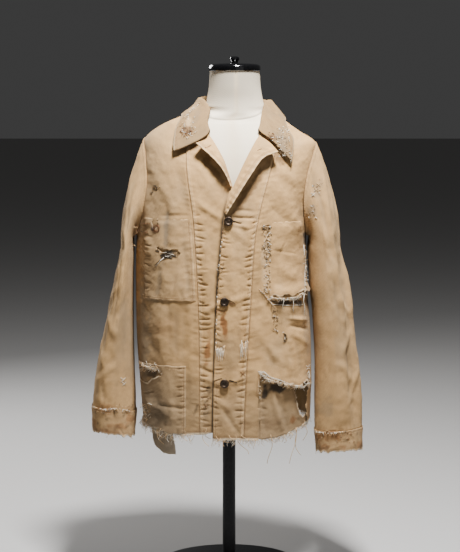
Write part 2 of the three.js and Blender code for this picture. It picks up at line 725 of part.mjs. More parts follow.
const part = new THREE.Group();
const jacket = new THREE.Group();
const form = new THREE.Group();
jacket.position.z = HEM_HEIGHT;
form.position.z = HEM_HEIGHT;
part.add(jacket, form);

function add(group, name, geometry, material) {
  const mesh = new THREE.Mesh(geometry, material);
  mesh.name = name;
  group.add(mesh);
  return mesh;
}

// Shell
add(jacket, "back", back(), TAN);
add(jacket, "side_front_right", sideFront("right", rightHem, rightSeam), TAN);
add(jacket, "side_front_left", ripped(sideFront("left", leftHem, leftSeam), LEFT_TEAR), TAN);
add(jacket, "centre_front_right", centreFrontRight(), TAN);
add(jacket, "centre_front_left", centreFrontLeft(), TAN);
add(jacket, "lapel_right", lapel("right"), TAN);
add(jacket, "lapel_left", lapel("left"), TAN);
add(jacket, "collar", collar(), TAN);
for (const side of ["right", "left"]) {
  add(jacket, "sleeve_top_" + side, sleeveHalf(side, 0, 180), TAN);
  add(jacket, "sleeve_under_" + side, sleeveHalf(side, 180, 360), TAN);
  add(jacket, "cuff_" + side, cuff(side), WORN);
}

// Patches, pockets and what hangs from them
add(jacket, "chest_patch_right", chestPatchRight(), FADED);
add(jacket, "chest_patch_left", chestPatchLeft(), FADED);
add(jacket, "lower_pocket_right", lowerPocketRight(), WORN);
add(jacket, "underlay_left", underlayLeft(), WORN);
add(jacket, "pocket_bag_right", pocketBag(), LINEN);
const frays = {
  fray_right: { span: [-88, -21], columns: 9, hem: rightHem, threads: 20, longest: 46 },
  fray_left: { span: [-7, 16], columns: 4, hem: leftHem, threads: 10, longest: 58, out: LAP_RISE / 2 },
  fray_underlay: { span: [19, 78], columns: 8, hem: leftHem, threads: 12, longest: 50, out: underShell },
  fray_back: { span: [94, 266], columns: 18, hem: backHem, threads: 26, longest: 40 },
};
for (const [name, shape] of Object.entries(frays)) add(jacket, name, fray(shape), RAW);

BUTTON_PLACES.forEach(([x, height], i) => {
  const angle = angleAt(x, height);
  const disc = add(jacket, "button_" + (i + 1), button(), BUTTON_METAL);
  disc.position.copy(onBody(angle, height, LAP_RISE + SEAM_GAP + 0.2));
  disc.quaternion.setFromUnitVectors(new THREE.Vector3(0, 1, 0), bodyNormal(angle, height));
});

// Dress form and stand
const CAP_HEIGHT = 17;
const capRadius = NECK_RADIUS + 2;
const capProfile = [
  [0, 0], [capRadius - 1, 0], [capRadius, 1], [capRadius, 9], [capRadius - 5, 14],
  [20, CAP_HEIGHT], [0, CAP_HEIGHT],
];
const knobProfile = [[0, 0], [7, 0], [7, 4], [10, 7], [9, 12], [0, 14]];
const plateProfile = [[0, 0], [52, 0], [52, 6], [0, 6]];
const poleLength = FORM_FOOT + HEM_HEIGHT - BASE_THICKNESS - 6 - 3 * SEAM_GAP;
const poleProfile = [[0, 0], [POLE_RADIUS, 0], [POLE_RADIUS, poleLength], [0, poleLength]];
const baseProfile = [
  [0, 0], [BASE_RADIUS, 0], [BASE_RADIUS, BASE_THICKNESS - 4],
  [BASE_RADIUS - 5, BASE_THICKNESS], [0, BASE_THICKNESS],
];

add(form, "dress_form", dressForm(), LINEN);
const cap = add(form, "neck_cap", turned(capProfile, 28), GLOSS_BLACK);
cap.position.set(NECK_X, -2, NECK_TOP + SEAM_GAP);
const knob = add(form, "cap_knob", turned(knobProfile, 16), GLOSS_BLACK);
knob.position.set(NECK_X, -2, NECK_TOP + CAP_HEIGHT + 2 * SEAM_GAP);
const plate = add(form, "foot_plate", turned(plateProfile, 24), STAND_BLACK);
plate.position.z = FORM_FOOT - 6 - SEAM_GAP;
const pole = add(part, "stand_pole", turned(poleProfile, 16), STAND_BLACK);
pole.position.z = BASE_THICKNESS + SEAM_GAP;
add(part, "stand_base", turned(baseProfile, 40), STAND_BLACK);

export default part;
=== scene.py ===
"""Looks of the patched jacket on its dress form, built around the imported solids."""

import bpy
import numpy as np
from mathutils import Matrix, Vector


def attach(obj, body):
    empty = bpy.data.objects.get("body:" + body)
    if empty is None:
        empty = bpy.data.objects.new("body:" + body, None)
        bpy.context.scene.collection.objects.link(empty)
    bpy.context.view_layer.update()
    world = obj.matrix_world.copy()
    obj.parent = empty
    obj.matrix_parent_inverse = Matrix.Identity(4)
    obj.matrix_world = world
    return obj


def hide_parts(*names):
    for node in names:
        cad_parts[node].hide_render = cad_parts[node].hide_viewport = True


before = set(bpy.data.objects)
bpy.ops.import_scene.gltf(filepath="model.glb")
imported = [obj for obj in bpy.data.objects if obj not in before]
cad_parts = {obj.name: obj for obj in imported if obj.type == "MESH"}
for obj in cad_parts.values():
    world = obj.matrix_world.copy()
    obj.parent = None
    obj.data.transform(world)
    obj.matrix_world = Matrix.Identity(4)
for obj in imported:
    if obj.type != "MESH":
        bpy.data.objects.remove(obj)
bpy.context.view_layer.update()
rng = np.random.default_rng(11)

# Shared sizes of the solids, in millimetres above the front hem
HEM_HEIGHT = 300
UNDERARM = 424
SHOULDER_TIP = {"right": 633, "left": 625}
SIDE = {"right": -1, "left": 1}
NECKLINE = 690
ROLL_TOP = 678.6
ARMHOLE_HALF_ANGLE = np.radians(27)
BREAK = 533
HEM_REACH = 150
BUTTON_PLACES = [(-1, 462), (-9.5, 294), (-9.5, 122)]  # distance from the centre, height
NECK_X = 12
NECK_Y = -2
NECK_TOP = 773
NECK_RADIUS = 53
CAP_HEIGHT = 17
FORM_FOOT = 92
PLATE_THICK = 6
BASE_THICK = 10
LAP_RISE = 1.4
UNDERLAP_DROP = 2.2

# Cloth in this scene
LOOK = "_look"  # ends the name of each visible piece, after that of its solid
CELL = 2.0  # grid step of the front panels
BACK_CELL = 4.5
CLOTH = 1.3  # thickness
PATCH_CLOTH = 1.2
CUFF_CLOTH = 2.0
COLLAR_CLOTH = 2.0
GAP = 0.3  # between neighbouring pieces
# Painted shade: the inside of the cloth is painted darker than its outside
INSIDE_SHADE = 0.5  # paint of the inside, as a share of the outside's
PATCH_OUT = 1.8  # outer face of a patch above the panel
UNDER_OUT = -3.4  # outer face of the underlay below the panel's outer face
LAPEL_LIFT = 19
RIP_CURL = 5  # how far the lip of a rip curls out
HEM_TEAR = 2.2  # reach of the teeth of a torn hem
PATCH_TEAR = 1.6

# The photo's scale and view, by which seen details are placed
MM_PER_PIXEL = 2.15
PHOTO_MIDDLE = (230, 276)  # column and row
CAMERA_REACH = 4000
CAMERA_ELEVATION = np.radians(6)
TARGET_X = 2
TARGET_HEIGHT = 335


def seen(column, row):
    """A pixel of the photo in millimetres to the right of and above the photo's middle."""
    right = (np.asarray(column, float) - PHOTO_MIDDLE[0]) * MM_PER_PIXEL
    return right, (PHOTO_MIDDLE[1] - np.asarray(row, float)) * MM_PER_PIXEL


def as_seen(points):
    """Where the photo shows points, in millimetres to the right of and above its middle."""
    x, y, z = points[..., 0] - TARGET_X, points[..., 1], points[..., 2] - TARGET_HEIGHT
    away = CAMERA_REACH + y * np.cos(CAMERA_ELEVATION) - z * np.sin(CAMERA_ELEVATION)
    up = z * np.cos(CAMERA_ELEVATION) + y * np.sin(CAMERA_ELEVATION)
    return x * CAMERA_REACH / away, up * CAMERA_REACH / away


# Curves and noise
def through(stations):
    """A smooth curve through [position, value] stations, as in the solids."""
    at, value = np.array(stations, float).T
    before = np.maximum(np.arange(len(at)) - 1, 0)
    after = np.minimum(np.arange(len(at)) + 1, len(at) - 1)
    slope = (value[after] - value[before]) / (at[after] - at[before])

    def curve(where):
        where = np.clip(np.asarray(where, float), at[0], at[-1])
        i = np.clip(np.searchsorted(at, where) - 1, 0, len(at) - 2)
        span = at[i + 1] - at[i]
        t = (where - at[i]) / span
        share = t * t * (3 - 2 * t)
        bow = t * (1 - t) * span
        return value[i] * (1 - share) + value[i + 1] * share + bow * (slope[i] * (1 - t) - slope[i + 1] * t)

    return curve


def smooth(value, low, high):
    t = np.clip((value - low) / (high - low), 0, 1)
    return t * t * (3 - 2 * t)


def mix(a, b, share):
    return a + (b - a) * share


def bell(off, half):
    return np.exp(-((off / half) ** 2))


def lattice(i, j, seed):
    mixed = np.sin(i * 127.1 + j * 311.7 + seed * 74.7) * 43758.5453
    return 2 * (mixed - np.floor(mixed)) - 1


def noise(u, v, size, seed):
    """Smooth noise from -1 to 1 with cells of that size."""
    u, v = u / size, v / size
    i, j = np.floor(u), np.floor(v)
    s, t = u - i, v - j
    s, t = s * s * (3 - 2 * s), t * t * (3 - 2 * t)
    low = mix(lattice(i, j, seed), lattice(i + 1, j, seed), s)
    high = mix(lattice(i, j + 1, seed), lattice(i + 1, j + 1, seed), s)
    return mix(low, high, t)


def cloud(u, v, size, seed):
    fine = 0.5 * noise(u, v, size / 2.1, seed + 1) + 0.25 * noise(u, v, size / 4.3, seed + 2)
    return noise(u, v, size, seed) + fine


def unit(vectors):
    return vectors / np.maximum(np.linalg.norm(vectors, axis=-1, keepdims=True), 1e-9)


# The worn body's outer surface
right_width = through([
    [-80, 182], [0, 184], [100, 191], [200, 198], [300, 200], [400, 199], [460, 196], [540, 190],
    [600, 186], [633, 178], [661, 141], [682, 92], [690, 76], [705, 64], [720, 62],
])
left_width = through([
    [-80, 172], [0, 174], [100, 177], [200, 176], [300, 169], [380, 165], [424, 165], [500, 172],
    [560, 180], [600, 185], [625, 182], [648, 147], [672, 115], [690, 97], [705, 88], [720, 86],
])
front_depth = through([
    [-80, 126], [0, 127], [150, 126], [300, 124], [420, 122], [500, 118], [560, 109], [600, 96],
    [633, 79], [660, 64], [690, 50], [720, 44],
])
back_depth = through([
    [-80, 122], [0, 122], [150, 120], [300, 119], [420, 122], [500, 122], [560, 117], [600, 108],
    [633, 96], [660, 85], [690, 73], [705, 68], [720, 66],
])
roundness = through([[0, 0.84], [400, 0.84], [560, 0.88], [633, 0.92], [720, 0.96]])
left_hem = through([[-40, 2], [0, 3], [30, 3], [50, 15], [70, 27], [90, 31], [180, 24]])
right_hem = through([[-40, 15], [0, 15], [20, 13], [36, 11], [50, 18], [75, 28], [90, 32], [180, 24]])
right_roll = through([[BREAK, 8], [565, -2], [590, -11], [625, -31], [655, -51], [690, -60], [720, -62]])
left_roll = through([[BREAK, 8], [588, 34], [625, 54], [656, 74], [690, 83], [720, 84]])
left_edge = through([
    [-20, -35], [100, -33], [300, -26], [440, -15], [473, -11], [495, -7], [523, 0], [BREAK, 8],
])
under_edge = through([[-20, 18], [300, 20], [471, 20], [BREAK - 12, 10]])
right_seam = through([[-20, -62], [150, -62], [300, -65], [450, -74], [600, -90], [690, -70]])
left_seam = through([
    [-20, 30], [100, 34], [300, 46], [420, 54], [467, 62], [517, 74], [575, 90], [625, 101], [655, 101],
    [690, 92],
])
# Broad folds: angle, half width in degrees, lowest and highest height, rise
BODY_FOLDS = [
    (-40, 11, 20, 330, 3.5), (-66, 10, 0, 240, 4), (57, 11, 60, 330, 4), (150, 14, 0, 420, 5),
    (205, 15, 0, 440, 5), (236, 10, 60, 380, 4), (120, 10, 60, 380, 4),
]


def apart(degrees, middle):
    return np.mod(degrees - middle + 180, 360) - 180


def drape(angle, height):
    degrees = np.degrees(angle)
    total = 0.0
    for middle, spread, low, high, rise in BODY_FOLDS:
        fade = smooth(height, low - 90, low) * (1 - smooth(height, high - 120, high))
        total = total + rise * fade * bell(apart(degrees, middle), spread)
    return total


def signed_power(value, power):
    return np.sign(value) * np.abs(value) ** power


def body(angle, height):
    power = roundness(height)
    wide = np.where(np.sin(angle) < 0, right_width(height), left_width(height))
    deep = np.where(np.cos(angle) > 0, front_depth(height), back_depth(height))
    x = wide * signed_power(np.sin(angle), power)
    y = -deep * signed_power(np.cos(angle), power)
    grow = 1 + drape(angle, height) / np.hypot(x, y)
    return np.stack([x * grow, y * grow, height + 0 * x], -1)


def body_normal(angle, height):
    around = body(angle + 0.03, height) - body(angle - 0.03, height)
    up = body(angle, height + 2) - body(angle, height - 2)
    return unit(np.cross(around, up))


def on_body(angle, height, out):
    return body(angle, height) + body_normal(angle, height) * np.asarray(out + 0 * angle)[..., None]


def angle_at(x, height):
    wide = np.where(np.asarray(x) < 0, right_width(height), left_width(height))
    share = np.minimum(np.abs(x) / wide, 1)
    return np.sign(x) * np.arcsin(share ** (1 / roundness(height)))


def from_x(x):
    return lambda height: angle_at(x(height), height)


def armhole(side):
    """Middle height and half height of an armhole."""
    return (SHOULDER_TIP[side] + UNDERARM) / 2, (SHOULDER_TIP[side] - UNDERARM) / 2


def armhole_width(side, height):
    middle, reach = armhole(side)
    return ARMHOLE_HALF_ANGLE * np.sqrt(np.maximum(0, 1 - ((height - middle) / reach) ** 2))


def outer_edge(side, turn):
    return lambda height: SIDE[side] * (np.pi / 2 - turn * armhole_width(side, height))


# Creases of the front, in pixels of the photo: from, to, then half width and rise in millimetres
CREASES = [
    (166, 206, 167, 250, 8, -2.6), (163, 258, 156, 302, 7, -2.2), (150, 165, 172, 205, 12, 2.0),
    (176, 168, 189, 214, 12, -2.2), (142, 182, 149, 226, 10, 2.0), (146, 236, 170, 292, 11, 1.6),
    (184, 232, 188, 296, 8, -2.0), (175, 278, 173, 299, 4.2, -1.4), (180, 290, 182, 299, 3.6, -1.4),
    (187, 270, 189, 298, 4.6, -1.3), (158, 216, 192, 215, 4, -0.9), (160, 306, 163, 356, 9, 2.0),
    (176, 312, 176, 360, 9, -2.4), (190, 300, 192, 420, 8, 1.8), (145, 330, 158, 358, 9, -2.0),
    (168, 304, 170, 360, 6, -1.4), (184, 306, 183, 358, 7, -1.6), (205, 235, 207, 330, 12, 2.2),
    (222, 220, 200, 204, 7, 2.4), (223, 303, 203, 314, 7, 2.0), (222, 385, 203, 377, 7, 2.0),
    (199, 367, 213, 374, 4, -2.2), (230, 302, 251, 294, 7, 2.0), (231, 384, 247, 378, 7, 1.9),
    (232, 210, 252, 211, 3.6, -1.7), (232, 217.5, 257, 218.5, 3.2, -2.2), (230, 224, 250, 228, 5, 1.8),
    (232, 228, 248, 244, 8, 2.0), (228, 246, 234, 292, 9, 1.6), (244, 216, 252, 250, 9, 1.8),
    (240, 318, 238, 372, 9, -1.6), (214, 400, 232, 410, 8, 1.5), (222, 408, 240, 436, 6, -2.0),
    (226, 330, 232, 372, 8, 1.6), (276, 184, 301, 232, 14, 2.8), (280, 170, 296, 182, 9, 2.0),
    (300, 198, 306, 262, 10, -2.4), (272, 206, 290, 226, 9, -1.6), (286, 240, 279, 258, 2.6, -0.8),
    (270, 250, 298, 254, 2.6, -0.8), (276, 262, 298, 284, 10, 1.6), (262, 296, 285, 338, 8, -2.4),
    (268, 306, 291, 346, 9, 2.2), (286, 344, 291, 380, 5, 2.6), (289, 318, 311, 320, 5, 3.2),
    (290, 325, 311, 330, 5, -2.8), (292, 334, 310, 344, 7, 1.8), (254, 330, 282, 364, 9, 2.0),
    (262, 340, 276, 372, 8, -1.8), (296, 336, 302, 378, 8, -2.0), (200, 160, 212, 196, 13, 1.8),
    (272, 395, 283, 430, 5, 2.6), (262, 396, 266, 432, 6, -1.8), (277, 394, 290, 430, 6, -2.0),
    (170, 378, 172, 426, 7, 1.8), (158, 392, 160, 424, 7, -1.8), (182, 372, 183, 428, 6, 1.5),
    (160, 405, 186, 409, 4, -1.8), (143, 393, 154, 391, 3.4, -2.2), (146, 400, 168, 416, 7, 1.8),
]
# Rows of the photo at which a sewn line gathers the cloth: the line, the side on which it shows, reach and
# depth in millimetres, rows
GATHERS = [
    (right_seam, 1, 17, 2.0, [
        216, 224, 231, 237, 241, 248, 254, 259, 265, 270, 275, 279, 284, 291, 296, 302, 306, 313, 320, 325,
        330, 338, 343, 348, 353, 361, 376, 381, 387, 392, 398, 405, 410, 415, 420, 427,
    ]),
    (left_edge, 1, 13, 1.6, [
        233, 238, 242, 248, 256, 261, 265, 269, 273, 279, 287, 293, 299, 306, 310, 315, 321, 325, 329, 334,
        340, 346, 366, 370, 374, 388, 396, 402, 407, 415, 421, 427,
    ]),
    (left_seam, -1, 15, 1.8, [
        222, 228, 233, 240, 246, 251, 256, 260, 266, 272, 279, 286, 293, 299, 305, 310, 318, 325, 335, 341,
        362, 367, 380, 386, 390, 398, 404, 411, 417, 423, 429,
    ]),
    (lambda height: 66 + 0 * height, 1, 10, 1.1, [378, 386, 394, 402, 409, 417, 424]),
    (lambda height: -92 + 0 * height, -1, 13, 1.1, [370, 375, 379, 387, 392, 396, 402, 408, 415, 420, 427]),
    (lambda height: -187 + 0.02 * height, 1, 13, 1.1, [
        237, 240, 247, 251, 256, 261, 266, 272, 276, 284, 291,
    ]),
]
GATHER_HALF = 1.7


def shown_at(right, up):
    """Distance from the centre and height of the point of the plain front that the photo shows there."""
    x, height = np.array(right, float), np.array(up, float) + TARGET_HEIGHT
    for _ in range(4):
        now_right, now_up = as_seen(body(angle_at(x, height), height))
        x, height = x + right - now_right, height + up - now_up
    return x, height


def gather_creases():
    for line, side, reach, depth, rows in GATHERS:
        for row in rows:
            _, height = shown_at(*seen(PHOTO_MIDDLE[0], row))
            swing = lattice(row, 3, 5)
            start = line(height) + side * 2
            end = start + side * reach * (1 + 0.5 * swing)
            ends = np.stack([start, end]), np.stack([height, height - 2 + 4 * lattice(row, 7, 9)])
            (ax, bx), (az, bz) = as_seen(body(angle_at(*ends), ends[1]))
            yield ax, az, bx, bz, GATHER_HALF, -depth * (0.85 + 0.4 * lattice(row, 11, 4))


BROAD_FOLDS = [(*seen(*crease[:2]), *seen(*crease[2:4]), *crease[4:]) for crease in CREASES]
NARROW_FOLDS = list(gather_creases())


def crease(x, height, dx, dz, half, rise, wander, fade):
    """One crease that goes from nought by dx and dz, and fades from that share of its length on."""
    length = np.hypot(dx, dz)
    along = (x * dx + height * dz) / length**2
    off = (x * dz - height * dx) / length + wander
    taper = smooth(along, -0.2, 0.25) * (1 - smooth(along, fade, 1.2))
    return rise * taper * bell(off, half)


def crease_rise(x, height, folds):
    total = np.zeros(np.shape(x))
    wander = 2.0 * noise(x, height, 24, 5)
    for ax, az, bx, bz, half, rise in folds:
        steadied = wander * min(1, half / 8)
        total = total + crease(x - ax, height - az, bx - ax, bz - az, half, rise, steadied, 0.7)
    return total


def pucker(off, along, reach, pitch, rise, seed):
    """Short gathers that a sewn line draws into the cloth beside it."""
    phase = along / pitch + 0.35 * noise(along, 0 * along, pitch * 2, seed) + 0.02 * off
    strength = 0.55 + 0.45 * noise(along, 0 * along + 9, pitch * 1.7, seed + 3)
    near = np.exp(-np.abs(off) / reach) * smooth(np.abs(off), 0, 3)
    return rise * strength * np.sin(2 * np.pi * phase) * near


def seam_rise(off, along, seed):
    """A felled seam: a low ridge on one side, a sharp step on the other, small gathers on both."""
    ridge = 0.8 * smooth(off, -0.5, 1.5) * (1 - smooth(off, 6, 8.5))
    return ridge - 0.8 * bell(off, 1.6) + pucker(off, along, 8, 12, 0.6, seed)


def front_relief(points):
    """How far creases, gathers and seams lift or sink the front at points of the plain body."""
    x, height = points[..., 0], points[..., 2]
    total = crease_rise(*as_seen(points), BROAD_FOLDS + NARROW_FOLDS)
    total = total + 0.9 * cloud(x, height, 46, 21) + 0.55 * cloud(x, height, 15, 31)
    below_collar = 1 - smooth(height, 600, 640)
    total = total + below_collar * seam_rise(x - right_seam(height), height, 3)
    total = total + below_collar * seam_rise(left_seam(height) - x, height, 7)
    wide = np.where(x < 0, right_width(height), left_width(height))
    return total * (1 - smooth(np.abs(x) / wide, 0.90, 0.985))


def on_front(x, height, out):
    """Points of the creased front by distance from the centre and height, with their normals."""
    angle = angle_at(x, height)
    return on_body(angle, height, out + front_relief(body(angle, height))), body_normal(angle, height)


# Folds of the hidden back: angle, lean, half width in degrees, rise
BACK_FOLDS = [
    (132, 0.03, 5, 4.0), (146, 0.02, 4, -3.6), (163, -0.02, 5, 3.4), (181, -0.01, 4, -3.2),
    (197, 0.03, 5, 3.6), (214, -0.03, 4, -3.8), (228, -0.04, 5, 3.8),
]
# Pulls from the armholes over the back: height at the middle, slope
BACK_PULLS = [(470, 0.28), (515, -0.2), (440, -0.25), (560, 0.12), (390, 0.2)]
BACK_SPAN = 3.3  # millimetres of the back for each degree
# Invented worn places of the hidden back: angle in degrees, height, reach, count of loose threads
BACK_WEAR = [(150, 505, 9, 45), (206, 300, 12, 60), (232, 120, 11, 55), (166, 62, 13, 60), (128, 210, 8, 40)]


def back_relief(angle, height):
    degrees = np.degrees(angle)
    across = degrees * BACK_SPAN
    total = 1.3 * cloud(across, height, 60, 41) + 0.4 * cloud(across, height, 18, 51)
    for middle, lean, half, rise in BACK_FOLDS:
        off = apart(degrees, middle + lean * (height - 300))
        total = total + rise * bell(off, half) * (1 - smooth(height, 430, 560))
    from_middle = apart(degrees, 180)
    for level, slope in BACK_PULLS:
        off = height - level - slope * from_middle * BACK_SPAN
        total = total + 3.0 * bell(off, 9) * smooth(np.abs(from_middle), 14, 55)
    return total * (1 - smooth(np.abs(from_middle), 74, 86))


# Colours, as linear red, green and blue
TAN = np.array([0.468, 0.280, 0.116])
GREYED = np.array([0.185, 0.138, 0.088])
RUST = np.array([0.190, 0.072, 0.022])
BROWN = np.array([0.115, 0.058, 0.026])
# Near black, for soot and for painted shadow in holes, gaps and along the placket's edge
SOOT_AND_SHADOW = np.array([0.030, 0.023, 0.018])
PALE = np.array([0.600, 0.400, 0.210])
WORN_WHITE = np.array([0.700, 0.560, 0.380])
WHITE_THREAD = np.array([0.720, 0.650, 0.530])
TAN_THREAD = np.array([0.520, 0.340, 0.175])
DARK_THREAD = np.array([0.022, 0.018, 0.015])
BROWN_THREAD = np.array([0.150, 0.062, 0.028])
LINEN = np.array([0.800, 0.700, 0.540])
POCKETING = np.array([0.560, 0.485, 0.370])
# Darker tans of the pieces that are dim in the photo, which can't tell dirt from shade: painted shade and
# dirt
PATCH_TAN = mix(TAN, GREYED, 0.12)
SLEEVE_TAN = mix(TAN, GREYED, 0.2)
WORN_AND_SHADED_TAN = mix(TAN, GREYED, 0.35)
# The collar is darker still: painted shade
COLLAR_TAN = mix(TAN, GREYED, 0.3) * 0.72

# Stains, and painted shade beside tears, in holes and armpits, round the buttons, at the front's sides,
# under the lapels and collar tips and down the sleeves, in pixels of the photo:
# middle, half sizes, then lean in degrees, colour, strength
FRONT_STAINS_AND_SHADE = [
    (156, 228, 5, 4, 0, BROWN, 0.7), (153, 229, 2, 2.5, 0, SOOT_AND_SHADOW, 0.9), (208, 349, 3.4, 18, 6, RUST, 0.8),
    (209, 390, 3.5, 6, 0, SOOT_AND_SHADOW, 0.65), (224, 323, 3.5, 14, -6, RUST, 0.9), (221, 311, 5, 3, 0, RUST, 0.5),
    (294, 420, 4, 5, 0, RUST, 0.7), (160, 412, 11, 14, 0, SOOT_AND_SHADOW, 0.45), (166, 232, 3, 20, 2, GREYED, 0.7),
    (160, 280, 3, 20, 9, GREYED, 0.45), (150, 373, 9, 5, -10, SOOT_AND_SHADOW, 0.8), (156, 189, 3, 3, 0, SOOT_AND_SHADOW, 0.4),
    (230, 195, 1.6, 1.8, 0, SOOT_AND_SHADOW, 0.8), (168, 330, 14, 14, 0, RUST, 0.12), (196, 410, 2, 6, 20, SOOT_AND_SHADOW, 0.6),
    (285, 338, 2.4, 5, 0, SOOT_AND_SHADOW, 0.9), (246, 330, 9, 24, 0, RUST, 0.12), (150, 300, 13, 4, 0, GREYED, 0.35),
    (182, 262, 16, 34, 0, PALE, 0.22), (280, 352, 14, 20, 0, PALE, 0.2), (142, 340, 8, 70, 0, GREYED, 0.65),
    (306, 300, 5, 70, 0, GREYED, 0.45), (216, 426, 20, 8, 0, BROWN, 0.22), (270, 424, 18, 8, 0, BROWN, 0.25),
    (240, 240, 10, 30, 0, PALE, 0.2), (266, 260, 4.5, 36, 0, PALE, 0.6), (167, 254, 10, 4, 6, SOOT_AND_SHADOW, 0.75),
    (226, 302, 8, 7, 0, BROWN, 0.4), (226, 384, 8, 7, 0, BROWN, 0.45), (229, 221, 8, 7, 0, BROWN, 0.45),
    (305, 237, 2, 7, 0, SOOT_AND_SHADOW, 0.9), (286, 302, 15, 3.6, 0, SOOT_AND_SHADOW, 0.95), (298, 304, 5, 4, 0, SOOT_AND_SHADOW, 0.95),
    (310, 300, 4, 7, 0, SOOT_AND_SHADOW, 0.9), (279, 388, 15, 5.5, 3, SOOT_AND_SHADOW, 0.95), (265.5, 392, 3, 8, 12, SOOT_AND_SHADOW, 0.95),
    (135, 238, 3, 10, 0, SOOT_AND_SHADOW, 0.8), (245, 424, 8, 6, 0, BROWN, 0.25), (206, 410, 4, 12, 0, GREYED, 0.4),
    (232, 400, 6, 18, 20, BROWN, 0.18), (213, 170, 5, 25, -39, BROWN, 0.6), (250, 190, 5, 40, 34, BROWN, 0.6),
    (279, 158, 5, 13, -48, BROWN, 0.6), (188, 149, 4, 14, 67, BROWN, 0.6), (300, 399, 4, 10, -8, SOOT_AND_SHADOW, 0.85),
]
LIMB_STAINS_AND_SHADE = [
    (187, 131, 6, 6, 0, BROWN, 0.6), (184, 129, 2.4, 2.4, 0, SOOT_AND_SHADOW, 0.8), (190, 132, 2, 2.6, 0, SOOT_AND_SHADOW, 0.8),
    (189, 121, 4, 5, 0, PALE, 0.6), (283, 142, 5, 15, 0, GREYED, 0.6), (272, 137, 4, 3, 0, BROWN, 0.7),
    (271, 137, 1.6, 1.4, 0, SOOT_AND_SHADOW, 0.8), (196, 118, 4, 12, 20, GREYED, 0.4), (104, 409, 9, 6, 0, RUST, 0.5),
    (108, 430, 12, 5, 0, BROWN, 0.45), (330, 436, 16, 6, 0, RUST, 0.5), (318, 188, 5, 10, 20, GREYED, 0.45),
    (313, 212, 6, 7, 0, GREYED, 0.6), (120, 340, 8, 50, 6, GREYED, 0.3), (326, 408, 8, 14, 0, GREYED, 0.4),
]


def tint(colour, shape):
    return np.broadcast_to(colour, (*shape, 3)).copy()


def blend(paint, colour, mask):
    return paint + (colour - paint) * np.clip(mask, 0, 1)[..., None]


def mottled(paint, u, v, seed):
    """Fading, dirt and slubs at several sizes."""
    shade = 1 + 0.08 * cloud(u, v, 70, seed)
    shade = shade + 0.07 * cloud(u, v, 19, seed + 4) + 0.07 * cloud(u, v, 6, seed + 8)
    paint = paint * shade[..., None]
    paint = blend(paint, GREYED, 0.30 * smooth(cloud(u, v, 95, seed + 12), 0.2, 1.1))
    return blend(paint, PALE, 0.25 * smooth(cloud(u, v, 52, seed + 16), 0.35, 1.2))


def stained_and_shaded(paint, points, stains_and_shade, facing=1.0):
    """Stains and painted shade where the photo shows them, on the side that faces the camera."""
    x, height = as_seen(points)
    tatter = 0.35 * cloud(x, height, 9, 17)
    for column, row, wide, high, lean, colour, strength in stains_and_shade:
        middle_x, middle_z = seen(column, row)
        turn = np.radians(lean)
        dx, dz = x - middle_x, height - middle_z
        across = (dx * np.cos(turn) - dz * np.sin(turn)) / (wide * MM_PER_PIXEL)
        along = (dx * np.sin(turn) + dz * np.cos(turn)) / (high * MM_PER_PIXEL)
        reach = np.hypot(across, along) + tatter
        paint = blend(paint, colour, facing * strength * (1 - smooth(reach, 0.45, 1.15)))
    return paint


def facing_camera(normal):
    return smooth(-normal[..., 1], 0.02, 0.25)


def seam_paint(paint, off):
    """Worn seams: dark in the step, pale on the ridge."""
    paint = blend(paint, BROWN, 0.35 * bell(off, 1.2))
    return blend(paint, PALE, 0.45 * bell(off - 3.5, 2.4))


def edge_paint(paint, off, wear=0.3):
    """A worn free edge: white where the weave shows, a little darker behind it."""
    paint = blend(paint, BROWN, 0.5 * wear * bell(off - 5, 3))
    return blend(paint, WORN_WHITE, wear * (1 - smooth(off, 0.8, 4.0)))


def front_paint(base, points, seed):
    """Paint of the front: dark seams, dirt and painted shade at the hem, painted shade at the right side, the
    placket's edge and in creases.
    """
    x, height = points[..., 0], points[..., 2]
    paint = mottled(tint(base, x.shape), x, height, seed)
    # Darker towards the hem, partly dirt and partly painted shade; painted shade towards the right side
    paint = blend(paint, GREYED, 0.46 * (1 - smooth(height, 20, 190)) + 0.45 * smooth(-x, 85, 170))
    paint = stained_and_shaded(paint, points, FRONT_STAINS_AND_SHADE)
    below_collar = height < 640
    paint = np.where(below_collar[..., None], seam_paint(paint, x - right_seam(height)), paint)
    paint = np.where(below_collar[..., None], seam_paint(paint, left_seam(height) - x), paint)
    # Painted shadow along the placket's free edge, below the break
    buttoned = 1 - smooth(height, BREAK - 60, BREAK)
    line_half = mix(2.2, 3.4, smooth(height, 250, 330))
    paint = blend(paint, SOOT_AND_SHADOW, 0.9 * buttoned * bell(x - left_edge(height) + 1.0, line_half))
    # Painted shade in creases: greyer in broad ones, browner in narrow gathers
    narrow = -crease_rise(*as_seen(points), NARROW_FOLDS)
    broad = -crease_rise(*as_seen(points), BROAD_FOLDS)
    paint = blend(paint, GREYED, 0.3 * smooth(broad, 0.6, 2.8))
    return blend(paint, BROWN, 0.5 * smooth(narrow, 0.3, 2.0))


# Materials
def node(tree, kind, **values):
    made = tree.nodes.new(kind)
    for name, value in values.items():
        if hasattr(made, name):
            setattr(made, name, value)
        else:
            made.inputs[name.replace("_", " ").title()].default_value = value
    return made


def principled(name, roughness, metallic=0.0):
    material = bpy.data.materials.new(name)
    material.use_nodes = True
    shader = material.node_tree.nodes["Principled BSDF"]
    shader.inputs["Roughness"].default_value = roughness
    shader.inputs["Metallic"].default_value = metallic
    return material, material.node_tree, shader


